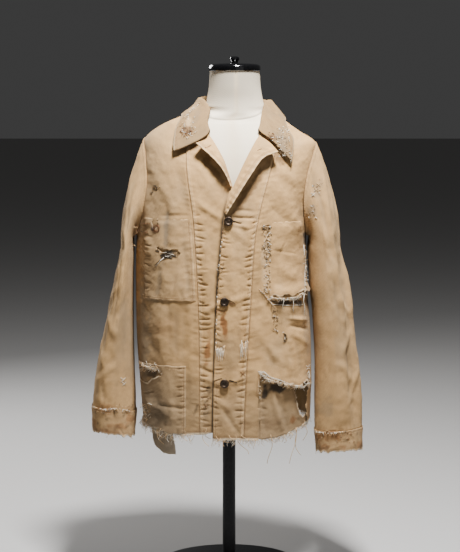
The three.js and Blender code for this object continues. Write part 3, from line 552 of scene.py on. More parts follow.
def woven(name, weave_scale, contrast, depth, roughness=0.95, sheen=0.06):
    """Cloth whose colour is painted on its points, with a diagonal weave, slubs and fuzz."""
    material, tree, shader = principled(name, roughness)
    shader.inputs["Sheen Weight"].default_value = sheen
    shader.inputs["Sheen Roughness"].default_value = 0.6
    shader.inputs["Sheen Tint"].default_value = (1.0, 0.86, 0.66, 1)
    shader.inputs["Specular IOR Level"].default_value = 0.12
    link = tree.links.new
    place = node(tree, "ShaderNodeTexCoord")
    paint = node(tree, "ShaderNodeVertexColor", layer_name="Tint")
    weave = node(tree, "ShaderNodeTexWave", wave_type="BANDS", bands_direction="DIAGONAL", scale=weave_scale,
                 distortion=1.2, detail=1.0, detail_scale=1.5)
    slubs = node(tree, "ShaderNodeTexNoise", scale=420.0, detail=3.0, roughness=0.65)
    link(place.outputs["Object"], weave.inputs["Vector"])
    link(place.outputs["Object"], slubs.inputs["Vector"])
    both = node(tree, "ShaderNodeMath", operation="MULTIPLY")
    link(weave.outputs["Fac"], both.inputs[0])
    link(slubs.outputs["Fac"], both.inputs[1])
    shade = node(tree, "ShaderNodeMapRange")
    shade.inputs["From Max"].default_value = 0.7
    shade.inputs["To Min"].default_value = 1 - contrast
    shade.inputs["To Max"].default_value = 1 + contrast
    link(both.outputs[0], shade.inputs["Value"])
    coloured = node(tree, "ShaderNodeMix", data_type="RGBA", blend_type="MULTIPLY")
    coloured.inputs["Factor"].default_value = 1.0
    link(paint.outputs["Color"], coloured.inputs["A"])
    link(shade.outputs["Result"], coloured.inputs["B"])
    link(coloured.outputs["Result"], shader.inputs["Base Color"])
    bump = node(tree, "ShaderNodeBump", strength=0.4, distance=depth)
    link(both.outputs[0], bump.inputs["Height"])
    link(bump.outputs["Normal"], shader.inputs["Normal"])
    return material


def worn_metal(name, colour, worn, roughness, coat=0.0):
    """Dark metal or lacquer with rubbed, uneven gloss."""
    material, tree, shader = principled(name, roughness, metallic=0.75)
    shader.inputs["Coat Weight"].default_value = coat
    link = tree.links.new
    place = node(tree, "ShaderNodeTexCoord")
    grime = node(tree, "ShaderNodeTexNoise", scale=160.0, detail=5.0, roughness=0.7)
    link(place.outputs["Object"], grime.inputs["Vector"])
    ramp = node(tree, "ShaderNodeValToRGB")
    ramp.color_ramp.elements[0].position = 0.42
    ramp.color_ramp.elements[1].position = 0.72
    ramp.color_ramp.elements[0].color = (*colour, 1)
    ramp.color_ramp.elements[1].color = (*worn, 1)
    link(grime.outputs["Fac"], ramp.inputs["Fac"])
    link(ramp.outputs["Color"], shader.inputs["Base Color"])
    gloss = node(tree, "ShaderNodeMapRange")
    gloss.inputs["To Min"].default_value = roughness * 0.8
    gloss.inputs["To Max"].default_value = min(1.0, roughness * 1.5)
    link(grime.outputs["Fac"], gloss.inputs["Value"])
    link(gloss.outputs["Result"], shader.inputs["Roughness"])
    return material


cotton = woven("cotton_twill", 230.0, 0.16, 0.0008)
linen = woven("form_linen", 150.0, 0.05, 0.0004, roughness=0.85)
thread_cotton = woven("thread_cotton", 400.0, 0.10, 0.0003)
button_metal = worn_metal("button_metal", (0.022, 0.015, 0.011), (0.110, 0.070, 0.042), 0.38)
cap_lacquer = worn_metal("cap_lacquer", (0.006, 0.006, 0.007), (0.012, 0.012, 0.013), 0.12, coat=0.8)
stand_paint = worn_metal("stand_paint", (0.010, 0.010, 0.011), (0.018, 0.018, 0.019), 0.42)


# Meshes
def build(name, points, faces, colours, material, replaced=()):
    """A piece from points in millimetres above the hem, with a colour painted on each point."""
    mesh = bpy.data.meshes.new(name)
    place = (np.asarray(points, float) + [0, 0, HEM_HEIGHT]) / 1000
    mesh.from_pydata(place.tolist(), [], [list(face) for face in faces])
    layer = mesh.color_attributes.new("Tint", "FLOAT_COLOR", "POINT")
    rgba = np.ones((len(place), 4), np.float32)
    rgba[:, :3] = np.clip(colours, 0, 1)
    layer.data.foreach_set("color", rgba.ravel())
    mesh.polygons.foreach_set("use_smooth", [True] * len(mesh.polygons))
    mesh.materials.append(material)
    mesh.validate()
    mesh.update()
    piece = bpy.data.objects.new(name + LOOK, mesh)
    bpy.context.scene.collection.objects.link(piece)
    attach(piece, "root")
    if replaced:
        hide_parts(*replaced)
    return piece


def grid_normals(grid, outward, ring=False):
    if ring:
        across = np.roll(grid, -1, 1) - np.roll(grid, 1, 1)
    else:
        across = np.gradient(grid, axis=1)
    normal = unit(np.cross(across, np.gradient(grid, axis=0)))
    sign = np.sign((normal * outward).sum(-1, keepdims=True))
    return normal * np.where(sign == 0, 1, sign)


def grid_quads(rows, columns, across):
    """Corners of a grid's cells, row by row; as many cells across as columns close it to a ring."""
    j, i = np.meshgrid(np.arange(rows - 1), np.arange(across), indexing="ij")
    a, b = j * columns + i, j * columns + (i + 1) % columns
    return np.stack([a, b, b + columns, a + columns], -1)


def ring_faces(rings, sides):
    """Faces of rings that are joined one to the next and closed at both ends."""
    faces = grid_quads(rings, sides, sides).reshape(-1, 4).tolist()
    faces.append(list(range(sides))[::-1])
    faces.append([(rings - 1) * sides + k for k in range(sides)])
    return faces


def run_along(points, axis):
    """How far points lie from the first ones, along that axis of their grid."""
    steps = np.linalg.norm(np.diff(points, axis=axis), axis=-1)
    return np.insert(np.cumsum(steps, axis), 0, 0, axis)


def girths(grid):
    """The length round each ring of a grid."""
    return np.linalg.norm(np.roll(grid, -1, 1) - grid, axis=-1).sum(1, keepdims=True)


def turned(grid):
    """A grid whose first row becomes its last column."""
    return grid.transpose(1, 0, 2)[:, ::-1]


surfaces = {}  # outer points and normals of each cloth, on which threads and darns lie


def shell(name, grid, outward, colours, replaced, keep=None, ring=False, cloth=CLOTH):
    """A thin closed cloth from a grid of outer points; keep leaves out the cells of a rip."""
    rows, columns = grid.shape[:2]
    normal = grid_normals(grid, outward, ring)
    surfaces[name] = grid, normal
    inner = grid - normal * cloth
    count = rows * columns
    quads = grid_quads(rows, columns, columns if ring else columns - 1)
    quads = quads.reshape(-1, 4) if keep is None else quads[keep]
    flat = grid.reshape(-1, 3)
    first = quads[len(quads) // 2]
    face_normal = np.cross(flat[first[1]] - flat[first[0]], flat[first[3]] - flat[first[0]])
    if (face_normal * normal.reshape(-1, 3)[first[0]]).sum() < 0:
        quads = quads[:, ::-1]
    start, end = quads.ravel(), np.roll(quads, -1, 1).ravel()
    alone = ~np.isin(start * count + end, end * count + start)
    rim = np.stack([end[alone], start[alone], start[alone] + count, end[alone] + count], -1)
    faces = np.concatenate([quads, quads[:, ::-1] + count, rim])
    points = np.concatenate([flat, inner.reshape(-1, 3)])
    # The inside is painted darker, as painted shade
    paint = np.concatenate([colours.reshape(-1, 3), colours.reshape(-1, 3) * INSIDE_SHADE])
    used, again = np.unique(faces, return_inverse=True)
    faces = again.reshape(faces.shape)
    return build(name, points[used], faces.tolist(), paint[used], cotton, replaced)


def ragged(edge, u, amount, seed):
    """A torn edge: long bites and short teeth."""
    return edge + amount * (0.7 * noise(u, 0 * u, 17, seed) + 0.5 * noise(u, 0 * u, 5, seed + 1))


def inside(x, height, outline, tear=2.0):
    """Which points lie in an outline of [x, height] corners, with its edge torn a little."""
    x = x + tear * noise(x, height, 5, 77)
    height = height + tear * noise(x, height, 5, 78)
    hit = np.zeros(x.shape, bool)
    corners = np.array(outline, float)
    for (ax, az), (bx, bz) in zip(corners, np.roll(corners, -1, 0)):
        crosses = (az > height) != (bz > height)
        with np.errstate(divide="ignore", invalid="ignore"):
            at = ax + (height - az) / (bz - az) * (bx - ax)
        hit ^= crosses & (x < at)
    return hit


def edge_distance(x, height, outline):
    corners = np.array(outline, float)
    nearest = np.full(x.shape, 1e9)
    for (ax, az), (bx, bz) in zip(corners, np.roll(corners, -1, 0)):
        dx, dz = bx - ax, bz - az
        t = np.clip(((x - ax) * dx + (height - az) * dz) / max(dx * dx + dz * dz, 1e-9), 0, 1)
        nearest = np.minimum(nearest, np.hypot(x - ax - t * dx, height - az - t * dz))
    return nearest


def strip(start, end, low, high, columns, cell=CELL, hem=None, tear=0.0):
    """Angles and heights of a strip of the body between two edges, each an angle by height."""
    rows = np.linspace(low, high, max(2, int(round((high - low) / cell)) + 1))
    share = np.linspace(0, 1, columns)
    angle = mix(start(rows)[:, None], end(rows)[:, None], share)
    height = np.broadcast_to(rows[:, None], angle.shape)
    if hem is not None:
        drop = ragged(hem(np.abs(np.degrees(angle))), np.degrees(angle) * 2.6, tear, 5)
        height = height + drop * (1 - smooth(height, 0, HEM_REACH))
    return angle, height


def cells(mask):
    """Cells of a grid none of whose corners is masked."""
    return ~(mask[:-1, :-1] | mask[1:, :-1] | mask[:-1, 1:] | mask[1:, 1:])


# Sewing: distances of the rows of stitches from a seam or an edge
SEAM_ROWS = (1.0, 6.2)
PLACKET_ROWS = (4, 8.5)
SLEEVE_ROWS = (3, 7.5)
CUFF_ROWS = (3, 8)
PATCH_ROWS = (3.5, 7.5)
LAPEL_ROW = 8
COLLAR_ROW = 7
sewing = []  # starts, ends and normals of the stitches, row by row


def follow(at, values, where):
    return np.stack([np.interp(where, at, values[:, k]) for k in range(3)], -1)


def sew(points, normals, pitch=3.4, length=2.3):
    """A row of stitches along points of a cloth."""
    at = run_along(points, 0)
    starts = np.arange(0, at[-1] - length, pitch)
    sewing.append((follow(at, points, starts), follow(at, points, starts + length),
                   unit(follow(at, normals, starts + length / 2))))


def sew_inset(grid, normal, distance):
    """A row of stitches at a distance from the last column of a grid."""
    steps = np.linalg.norm(np.diff(grid, axis=1), axis=-1)
    back = np.cumsum(steps[:, ::-1], 1)[:, ::-1]
    line, lean = [], []
    for row in range(len(grid)):
        to_end = np.append(back[row], 0)
        if to_end[0] < distance * 1.3:
            continue
        line.append(follow(to_end[::-1], grid[row, ::-1], np.array([distance]))[0])
        lean.append(follow(to_end[::-1], normal[row, ::-1], np.array([distance]))[0])
    sew(np.array(line), np.array(lean))


def make_stitches(radius=0.42):
    """All stitches as one piece, each a spindle that lies on its cloth."""
    start, end, normal = (np.concatenate(parts) for parts in zip(*sewing))
    side = unit(np.cross(end - start, normal)) * radius
    middle = (start + end) / 2 + normal * 0.15
    above, below = middle + normal * radius, middle - normal * 0.5
    corners = np.stack([start, middle + side, above, middle - side, below, end], 1)
    base = 6 * np.arange(len(start))[:, None, None]
    near_end = [[0, 1, 2], [0, 2, 3], [0, 3, 4], [0, 4, 1]]
    far_end = [[5, 2, 1], [5, 3, 2], [5, 4, 3], [5, 1, 4]]
    spindle = np.array(near_end + far_end)
    shade = np.repeat(0.75 + 0.4 * rng.random(len(start)), 6)[:, None]
    build("stitches", corners.reshape(-1, 3), (base + spindle).reshape(-1, 3).tolist(), TAN_THREAD * shade,
          thread_cotton)


# Rips of the solids, as the front shows them
LEFT_TEAR = [
    [65, -40], [65, 118], [68, 141], [80, 128], [92, 120], [104, 124], [118, 113], [131, 116], [144, 106],
    [154, 112], [163, 119], [166, 96], [164, 60], [167, 20], [165, -40],
]
UNDERLAY_RIP = [
    [141, 112], [146, 88], [149, 66], [154, 52], [161, 42], [169, 47], [200, 60], [200, 112], [176, 118],
    [158, 110],
]
CHEST_HOLE = [[-160, 455], [-156, 461], [-151, 459], [-149, 450], [-153, 444], [-159, 447]]
CHEST_SLIT = [
    [-150, 405], [-141, 403], [-127, 400], [-109, 398], [-103, 394], [-107, 388], [-120, 389], [-131, 393],
    [-144, 400],
]
POCKET_RIP = [
    [-192, 153], [-180, 149], [-166, 145], [-150, 147], [-143, 140], [-152, 131], [-164, 125], [-172, 115],
    [-186, 119], [-200, 135],
]
CHEST_PATCH_TEAR = [
    [70, 280], [92, 306], [104, 301], [116, 306], [127, 300], [139, 305], [150, 312], [162, 306], [175, 308],
    [175, 280],
]


# Shell pieces
def lap_rise(x, height):
    lapped = 1 - smooth(height, BREAK - 40, BREAK)
    return LAP_RISE * lapped * (1 - smooth(x, left_seam(height) - 34, left_seam(height) - 4))


def underlap_drop(x, height):
    return -UNDERLAP_DROP * smooth(x, left_edge(height) - 18, left_edge(height) - 4)


def left_fold(height):
    return np.where(height < BREAK, left_edge(height), left_roll(height))


def right_fold(height):
    return np.where(height < BREAK, under_edge(height), right_roll(height))


def front_panel(name, start, end, top, columns, hem, base, seed, out=None, rip=None):
    angle, height = strip(start, end, 0, top, columns, hem=hem, tear=HEM_TEAR)
    plain = body(angle, height)
    x = plain[..., 0]
    lift = front_relief(plain) + (0 if out is None else out(x, height))
    if rip is not None:
        off_rip = edge_distance(x, height, rip)
        lift = lift + RIP_CURL * np.exp(-off_rip / 7) * smooth(height, 90, 104)
    grid = on_body(angle, height, lift)
    colours = front_paint(base, plain, seed)
    colours = edge_paint(colours, height - hem(np.abs(np.degrees(angle))), wear=0.85)
    keep = None
    if rip is not None:
        keep = cells(inside(x, height, rip))
        colours = edge_paint(colours, off_rip, wear=0.1 + 0.75 * smooth(height, 90, 104))
    return shell(name, grid, body_normal(angle, height), colours, [name], keep)


def make_fronts():
    front_panel("side_front_right", from_x(right_seam), outer_edge("right", 1), NECKLINE, 80,
                right_hem, TAN * 0.96, 100)
    front_panel("side_front_left", from_x(left_seam), outer_edge("left", 1), NECKLINE, 78,
                left_hem, TAN, 200, rip=LEFT_TEAR)
    front_panel("centre_front_right", from_x(right_seam), from_x(right_fold), ROLL_TOP, 46,
                right_hem, TAN, 300, out=underlap_drop)
    front_panel("centre_front_left", from_x(left_fold), from_x(left_seam), ROLL_TOP, 42,
                left_hem, TAN * 1.03, 400, out=lap_rise)
    rows = np.arange(8, 630, 3.0)
    for off in SEAM_ROWS:
        sew(*on_front(right_seam(rows) + off, rows + 8, 0.3))
        sew(*on_front(left_seam(rows) - off, rows, 0.3))
    placket = np.arange(8, BREAK - 60, 3.0)
    for off in PLACKET_ROWS:
        sew(*on_front(left_edge(placket) + off, placket, LAP_RISE + 0.3))
    sew(*on_front(67 + 0 * rows[:40], rows[:40], 0.3))


def back_hem(degrees):
    return left_hem(np.where(degrees <= 180, degrees, 360 - degrees))


def make_back():
    far_edge = outer_edge("right", -1)
    angle, height = strip(outer_edge("left", -1), lambda h: 2 * np.pi + far_edge(h), 0, NECKLINE, 100,
                          cell=BACK_CELL, hem=back_hem, tear=HEM_TEAR)
    relief = back_relief(angle, height)
    grid = on_body(angle, height, relief)
    degrees = np.degrees(angle)
    across = degrees * BACK_SPAN
    colours = mottled(tint(TAN * 0.96, height.shape), across, height, 500)
    colours = blend(colours, GREYED, 0.3 * (1 - smooth(height, 20, 190)))
    # Painted shade in the back's folds
    colours = blend(colours, BROWN, 0.35 * smooth(-relief, 0.8, 3.6))
    tatter = 0.5 * cloud(across, height, 9, 17)
    for middle, level, reach, _ in BACK_WEAR:
        off = np.hypot(apart(degrees, middle) * BACK_SPAN, height - level) / reach + tatter
        colours = blend(colours, BROWN, 0.6 * (1 - smooth(off, 0.6, 1.8)))
    colours = edge_paint(colours, height - back_hem(degrees), wear=0.6)
    shell("back", grid, body_normal(angle, height), colours, ["back"])


LAPELS = {
    "right": (right_roll, (BREAK + 5, 634),
              [[0, 4, 533], [0.25, -5, 553], [0.5, -17, 571], [0.75, -38, 592], [1, -66, 615]]),
    "left": (left_fold, (480, 638),
             [[0, -6, 476], [0.2, 7, 497], [0.4, 26, 528], [0.6, 46, 559], [0.8, 68, 587], [1, 97, 599]]),
}


def make_lapel(side):
    fold, (low, high), edge = LAPELS[side]
    share = np.linspace(0, 1, 80)[:, None]
    across = np.linspace(0, 1, 26)[None, :]
    stations = np.array(edge)
    edge_x = through(stations[:, [0, 1]])(share)
    edge_height = through(stations[:, [0, 2]])(share)
    height = mix(low, high, share)
    start = angle_at(fold(height), height)
    angle = mix(start, angle_at(edge_x, edge_height), across)
    level = mix(height, edge_height, across)
    x = body(angle, level)[..., 0]
    seat = (2.6 + (lap_rise(x, level) if side == "left" else 0)) * smooth(across, -0.02, 0.22)
    lift = LAPEL_LIFT * across**1.3 * smooth(share, -0.2, 0.6)
    ends = on_body(angle[:, [0, -1]], level[:, [0, -1]], 0)
    off_edge = (1 - across) * np.linalg.norm(ends[:, 1] - ends[:, 0], axis=-1)[:, None]
    along = height + 0 * across
    ripple = pucker(off_edge - LAPEL_ROW, along, 14, 13, 2.0, 61 + SIDE[side]) + 0.6 * cloud(x, level, 20, 71)
    grid = on_body(angle, level, seat + lift + ripple * smooth(across, 0.1, 0.5))
    normal = grid_normals(grid, body_normal(angle, level))
    colours = mottled(tint(TAN * 1.03, x.shape), x, level, 600)
    colours = blend(colours, BROWN, 0.3 * bell(off_edge - LAPEL_ROW, 1.2))
    colours = stained_and_shaded(edge_paint(colours, off_edge), grid, LIMB_STAINS_AND_SHADE, facing_camera(normal))
    name = "lapel_" + side
    sew_inset(grid, normal, LAPEL_ROW)
    shell(name, grid, normal, colours, [name])


# Collar: share round the neck, base height, stand, edge angle, edge height, power of the fall's drop
COLLAR = np.array([
    [0, 641, 5, 41.5, 583, 0.75], [0.1, 664, 12, 46.5, 627, 1], [0.2, NECKLINE, 15, 68, 662, 1],
    [0.33, NECKLINE, 15, 108, 672, 1], [0.42, NECKLINE, 22, 148, 669, 1], [0.5, NECKLINE, 26, 185, 665, 1],
    [0.58, NECKLINE, 25, 221, 670, 1], [0.67, NECKLINE, 22, 257, 679, 1], [0.8, NECKLINE, 17, 303, 671, 1],
    [0.9, 662, 12, 320, 640, 1], [1, 640, 5, 325, 603, 0.5],
])
COLLAR_FRONT = 0.2  # share of the collar along each roll line
COLLAR_ROUND = 560


def resample(points, count):
    """Smooth curves through the points of axis 1, resampled to count points."""
    known = points.shape[1]
    at = np.linspace(0, known - 1, count)
    i = np.clip(np.floor(at).astype(int), 0, known - 2)
    t = (at - i)[None, :, None]
    p0, p1 = points[:, np.maximum(i - 1, 0)], points[:, i]
    p2, p3 = points[:, i + 1], points[:, np.minimum(i + 2, known - 1)]
    bend = (2 * p0 - 5 * p1 + 4 * p2 - p3) * t**2 + (3 * p1 - p0 - 3 * p2 + p3) * t**3
    return 0.5 * (2 * p1 + (p2 - p0) * t + bend)


def collar_angles(share, base_height):
    """Where the collar leaves the body: along the roll lines in front and round the neck behind."""
    left_base = angle_at(left_roll(base_height), base_height)
    right_base = 2 * np.pi + angle_at(right_roll(base_height), base_height)
    first = angle_at(left_roll(NECKLINE), NECKLINE)
    last = 2 * np.pi + angle_at(right_roll(NECKLINE), NECKLINE)
    between = mix(first, last, (share - COLLAR_FRONT) / (1 - 2 * COLLAR_FRONT))
    behind = np.where(share >= 1 - COLLAR_FRONT, right_base, between)
    return np.where(share <= COLLAR_FRONT, left_base, behind)


def make_collar():
    share = np.linspace(0, 1, 190)
    by_share = (through(COLLAR[:, [0, k]])(share) for k in range(1, COLLAR.shape[1]))
    base_height, stand, edge_angle, edge_height, power = by_share
    angle = collar_angles(share, base_height)
    height = base_height + 0.7
    profile = [on_body(angle, height + stand * part, -2.0) for part in (0, 0.5, 0.92)]
    profile.append(on_body(angle, height + stand, 2.3) + [0, 0, 4.3])
    tip = 6 * (smooth(share, 0.88, 1.0) + 1 - smooth(share, 0.0, 0.12))
    for part in (0.04, 0.22, 0.45, 0.72, 1):
        out_angle = mix(angle, np.radians(edge_angle), part)
        level = mix(height, edge_height, part**power) + stand * (1 - part) ** 1.6
        lift = 6.6 - 2.2 * part**2 + 3 * np.sin(np.pi * part) + tip * part**2
        profile.append(on_body(out_angle, level, lift))
    grid = resample(np.stack(profile, 1), 52)
    outward = unit(np.cross(np.gradient(grid, axis=0), np.gradient(grid, axis=1)))
    outward = outward * np.sign(outward[95, -6, 1])
    down = run_along(grid, 1)
    off_edge = down[:, -1:] - down
    around = share[:, None] * COLLAR_ROUND + 0 * down
    fall = smooth(down, 40, 60)
    rise = fall * (1.2 * cloud(around, down, 38, 81) + pucker(off_edge - COLLAR_ROW, around, 9, 11, 0.9, 85))
    grid = grid + outward * rise[..., None]
    colours = mottled(tint(COLLAR_TAN, down.shape), around, down, 700)
    colours = blend(colours, BROWN, 0.3 * bell(off_edge - COLLAR_ROW, 1.2))
    grime = 0.4 * fall * smooth(cloud(around, down, 24, 91), 0.1, 0.9)
    colours = blend(edge_paint(colours, off_edge), GREYED, grime)
    colours = stained_and_shaded(colours, grid, LIMB_STAINS_AND_SHADE, facing_camera(outward))
    sew_inset(grid, outward, COLLAR_ROW)
    shell("collar", grid, outward, colours, ["collar"], cloth=COLLAR_CLOTH)


# Sleeves: height, outer and inner distance from the centre, middle and half depth
SLEEVES = {
    "right": np.array([
        [400, -232, -204, 4, 74], [330, -246, -205, 2, 71], [260, -260, -206, 0, 66],
        [190, -275, -205, -3, 60], [130, -286, -203, -6, 55], [52, -294, -201, -10, 49],
        [-1, -293, -205, -12, 46],
    ], float),
    "left": np.array([
        [400, 238, 168, 2, 70], [320, 252, 172, -2, 67], [255, 261, 179, -5, 63], [160, 273, 184, -8, 57],
        [80, 281, 184, -10, 53], [7, 286, 185, -12, 49], [-37, 286, 189, -14, 47],
    ], float),
}
# Broad folds of the sleeves: turn, half width in degrees, lowest and highest height, rise
SLEEVE_FOLDS = {
    "right": [(30, 24, 60, 430, 5), (-32, 20, 40, 360, -5), (150, 26, 60, 380, 5)],
    "left": [(8, 20, 40, 440, 5), (46, 18, 20, 420, -6), (84, 22, 40, 400, 5), (165, 24, 60, 380, 5)],
}
SLEEVE_POWER = 0.86
CUFF_TILT = {"right": 6, "left": 3}
# Creases of the sleeves: from turn and height, to turn and height, half width, rise
SLEEVE_CREASES = {
    "right": [
        (70, 560, 20, 470, 12, 3.0), (40, 520, 5, 430, 9, -3.0), (-20, 420, 40, 340, 12, 2.6),
        (10, 330, 70, 290, 10, 2.4), (60, 260, 0, 210, 10, 2.6), (-30, 300, 20, 250, 9, -2.6),
        (80, 200, 30, 150, 9, 2.4), (0, 150, 60, 110, 8, 2.2), (20, 400, 24, 200, 8, -2.8),
        (55, 380, 52, 160, 9, -2.4), (-8, 380, 2, 120, 9, 2.4), (40, 130, 20, 70, 7, -2.2),
        (120, 420, 170, 330, 12, 2.4), (170, 300, 120, 220, 12, 2.4), (140, 180, 190, 110, 10, 2.0),
    ],
    "left": [
        (50, 570, 20, 450, 9, 3.6), (24, 560, 8, 430, 8, -4.2), (75, 560, 60, 420, 9, -3.4),
        (-5, 450, 20, 330, 8, 3.2), (28, 420, 36, 230, 7, 3.0), (60, 380, 62, 220, 8, -3.6),
        (44, 440, 48, 260, 7, -3.0), (14, 420, 16, 200, 7, -3.0), (78, 400, 76, 240, 8, 2.8),
        (20, 300, 70, 255, 9, 2.6), (60, 220, 10, 170, 9, 2.8), (0, 160, 50, 110, 9, 2.4),
        (70, 140, 30, 70, 8, 2.4), (30, 190, 34, 60, 7, -2.6), (130, 430, 175, 330, 12, 2.4),
        (170, 290, 120, 210, 12, 2.4), (95, 330, 100, 150, 9, -2.6),
    ],
}
TURNS = np.radians(np.linspace(0, 360, 121)[:-1])[None, :]


def sleeve_ring(side, turn, height):
    stations = SLEEVES[side]
    by_drop = [through(np.stack([-stations[:, 0], stations[:, k]], 1)) for k in (1, 2, 3, 4)]
    outer, inner, middle, half = (curve(-height) for curve in by_drop)
    centre, reach = (outer + inner) / 2, (outer - inner) / 2
    x = centre + reach * signed_power(np.sin(turn), SLEEVE_POWER)
    y = middle - half * signed_power(np.cos(turn), SLEEVE_POWER)
    away = unit(np.stack([x - centre, y - middle, 0 * x], -1))
    degrees = np.degrees(turn)
    swell = 0.0
    for fold, spread, low, high, rise in SLEEVE_FOLDS[side]:
        fade = smooth(height, low - 60, low + 40) * (1 - smooth(height, high - 90, high))
        swell = swell + rise * fade * bell(apart(degrees, fold), spread)
    tilt = CUFF_TILT[side] * np.sin(turn) * (1 - smooth(height, 40, 160))
    return np.stack([x, y, height + tilt + 0 * x], -1) + away * (swell + 0 * x)[..., None]


def sleeve_head(side, turn, share):
    middle, reach = armhole(side)
    height = middle + reach * np.sin(turn)
    angle = SIDE[side] * (np.pi / 2 - ARMHOLE_HALF_ANGLE * np.cos(turn))
    start = body(angle, height) + np.array([SIDE[side] * GAP, 0, 0])
    end = sleeve_ring(side, turn, SLEEVES[side][0, 0] + 0 * turn)
    high = (1 + np.sin(turn)) / 2
    leave = start + np.stack([SIDE[side] * 12 + 0 * turn, 0 * turn, -12 * high], -1)
    arrive = end + np.stack([0 * turn, 0 * turn, 0.43 * (start[..., 2] - end[..., 2])], -1)
    t = np.asarray(share + 0 * turn)[..., None]
    return start * (1 - t) ** 3 + 3 * leave * t * (1 - t) ** 2 + 3 * arrive * t**2 * (1 - t) + end * t**3


def sleeve_relief(side, degrees, height, girth):
    across = degrees * girth / 360
    total = 1.1 * cloud(across, height, 48, 111) + 0.4 * cloud(across, height, 15, 121)
    wander = 3 * noise(across, height, 26, 131)
    for turn, level, to_turn, to_level, half, rise in SLEEVE_CREASES[side]:
        x = apart(degrees, turn) * girth / 360
        dx = (to_turn - turn) * girth / 360
        total = total + crease(x, height - level, dx, to_level - level, half, rise, wander, 0.75)
    return total


def make_sleeve(side):
    heights = SLEEVES[side][:, 0]
    head = [sleeve_head(side, TURNS, share) for share in np.linspace(0, 1, 50)]
    levels = np.linspace(heights[0], heights[-2], 110)[1:]
    grid = np.concatenate(head + [sleeve_ring(side, TURNS, level + 0 * TURNS) for level in levels])
    outward = grid_normals(grid, grid - grid.mean(1, keepdims=True), ring=True)
    degrees = np.degrees(TURNS) + 0 * grid[..., 0]
    from_seam = run_along(grid, 0)
    to_cuff = from_seam[-1:] - from_seam
    girth = girths(grid)
    around = degrees * girth / 360
    relief = sleeve_relief(side, degrees, grid[..., 2], girth) * smooth(from_seam, 2, 26)
    relief = relief + pucker(from_seam, around, 12, 14, 1.7, 141) + 0.9 * bell(from_seam - 5, 3)
    relief = relief * smooth(to_cuff, -2, 18) + pucker(to_cuff, around, 12, 13, 1.5, 151)
    back_seam = apart(degrees, 180) * girth / 360
    relief = relief + 0.7 * smooth(back_seam, -0.5, 1.5) * (1 - smooth(back_seam, 6, 9))
    body_room = np.where(np.sin(TURNS) < 0, 0.35, 1.0)
    grid = grid + outward * (relief * body_room)[..., None]
    colours = mottled(tint(SLEEVE_TAN, degrees.shape), around, grid[..., 2], 800 + SIDE[side])
    colours = blend(colours, BROWN, 0.6 * bell(from_seam, 2.2))
    colours = blend(colours, BROWN, 0.35 * bell(back_seam, 1.2))
    # Painted shade in the sleeve's creases
    colours = blend(colours, GREYED, 0.28 * smooth(-relief, 0.8, 3.2))
    grime = smooth(cloud(around, to_cuff, 18, 161), -0.2, 0.8)
    colours = blend(colours, BROWN, 0.4 * (1 - smooth(to_cuff, 0, 40)) * grime)
    colours = stained_and_shaded(colours, grid, LIMB_STAINS_AND_SHADE, facing_camera(outward))
    for off in SLEEVE_ROWS:
        sew_inset(turned(grid), turned(outward), off)
    replaced = ["sleeve_top_" + side, "sleeve_under_" + side]
    shell("sleeve_" + side, grid, outward, colours, replaced, ring=True)


def make_cuff(side):
    seam, end = SLEEVES[side][-2, 0], SLEEVES[side][-1, 0]
    down = np.linspace(0, 1, 26)
    degrees = np.degrees(TURNS)
    wear = 2.5 * noise(degrees, 0 * TURNS, 9, 171) + 1.5 * noise(degrees, 0 * TURNS, 3, 172)
    rows = [sleeve_ring(side, TURNS, mix(seam + 1.5, end, part) + wear * part**3) for part in down]
    grid = np.concatenate(rows)
    outward = unit((grid - grid.mean(1, keepdims=True)) * [1, 1, 0])
    around = degrees * girths(grid) / 360 + 0 * grid[..., 0]
    depth = down[:, None] * (seam - end) + 0 * around
    relief = 1.9 + 1.0 * cloud(around, depth, 22, 181) + pucker(depth, around, 9, 12, 1.2, 183)
    relief = relief + pucker(seam - end - depth, around, 8, 9, 1.2, 187)
    grid = grid + outward * relief[..., None]
    colours = mottled(tint(WORN_AND_SHADED_TAN, around.shape), around, depth, 900)
    colours = blend(colours, RUST, 0.55 * smooth(cloud(around, depth, 17, 191), 0.1, 0.9))
    colours = blend(colours, SOOT_AND_SHADOW, 0.5 * smooth(cloud(around, depth, 11, 195), 0.35, 1.0))
    colours = blend(colours, BROWN, 0.4 * bell(depth - 3, 1.3))
    colours = edge_paint(colours, seam - end - depth, wear=0.6)
    colours = stained_and_shaded(colours, grid, LIMB_STAINS_AND_SHADE, facing_camera(outward))
    for off in CUFF_ROWS:
        sew_inset(turned(grid), turned(outward), off)
    name = "cuff_" + side
    shell(name, grid, outward, colours, [name], ring=True, cloth=CUFF_CLOTH)


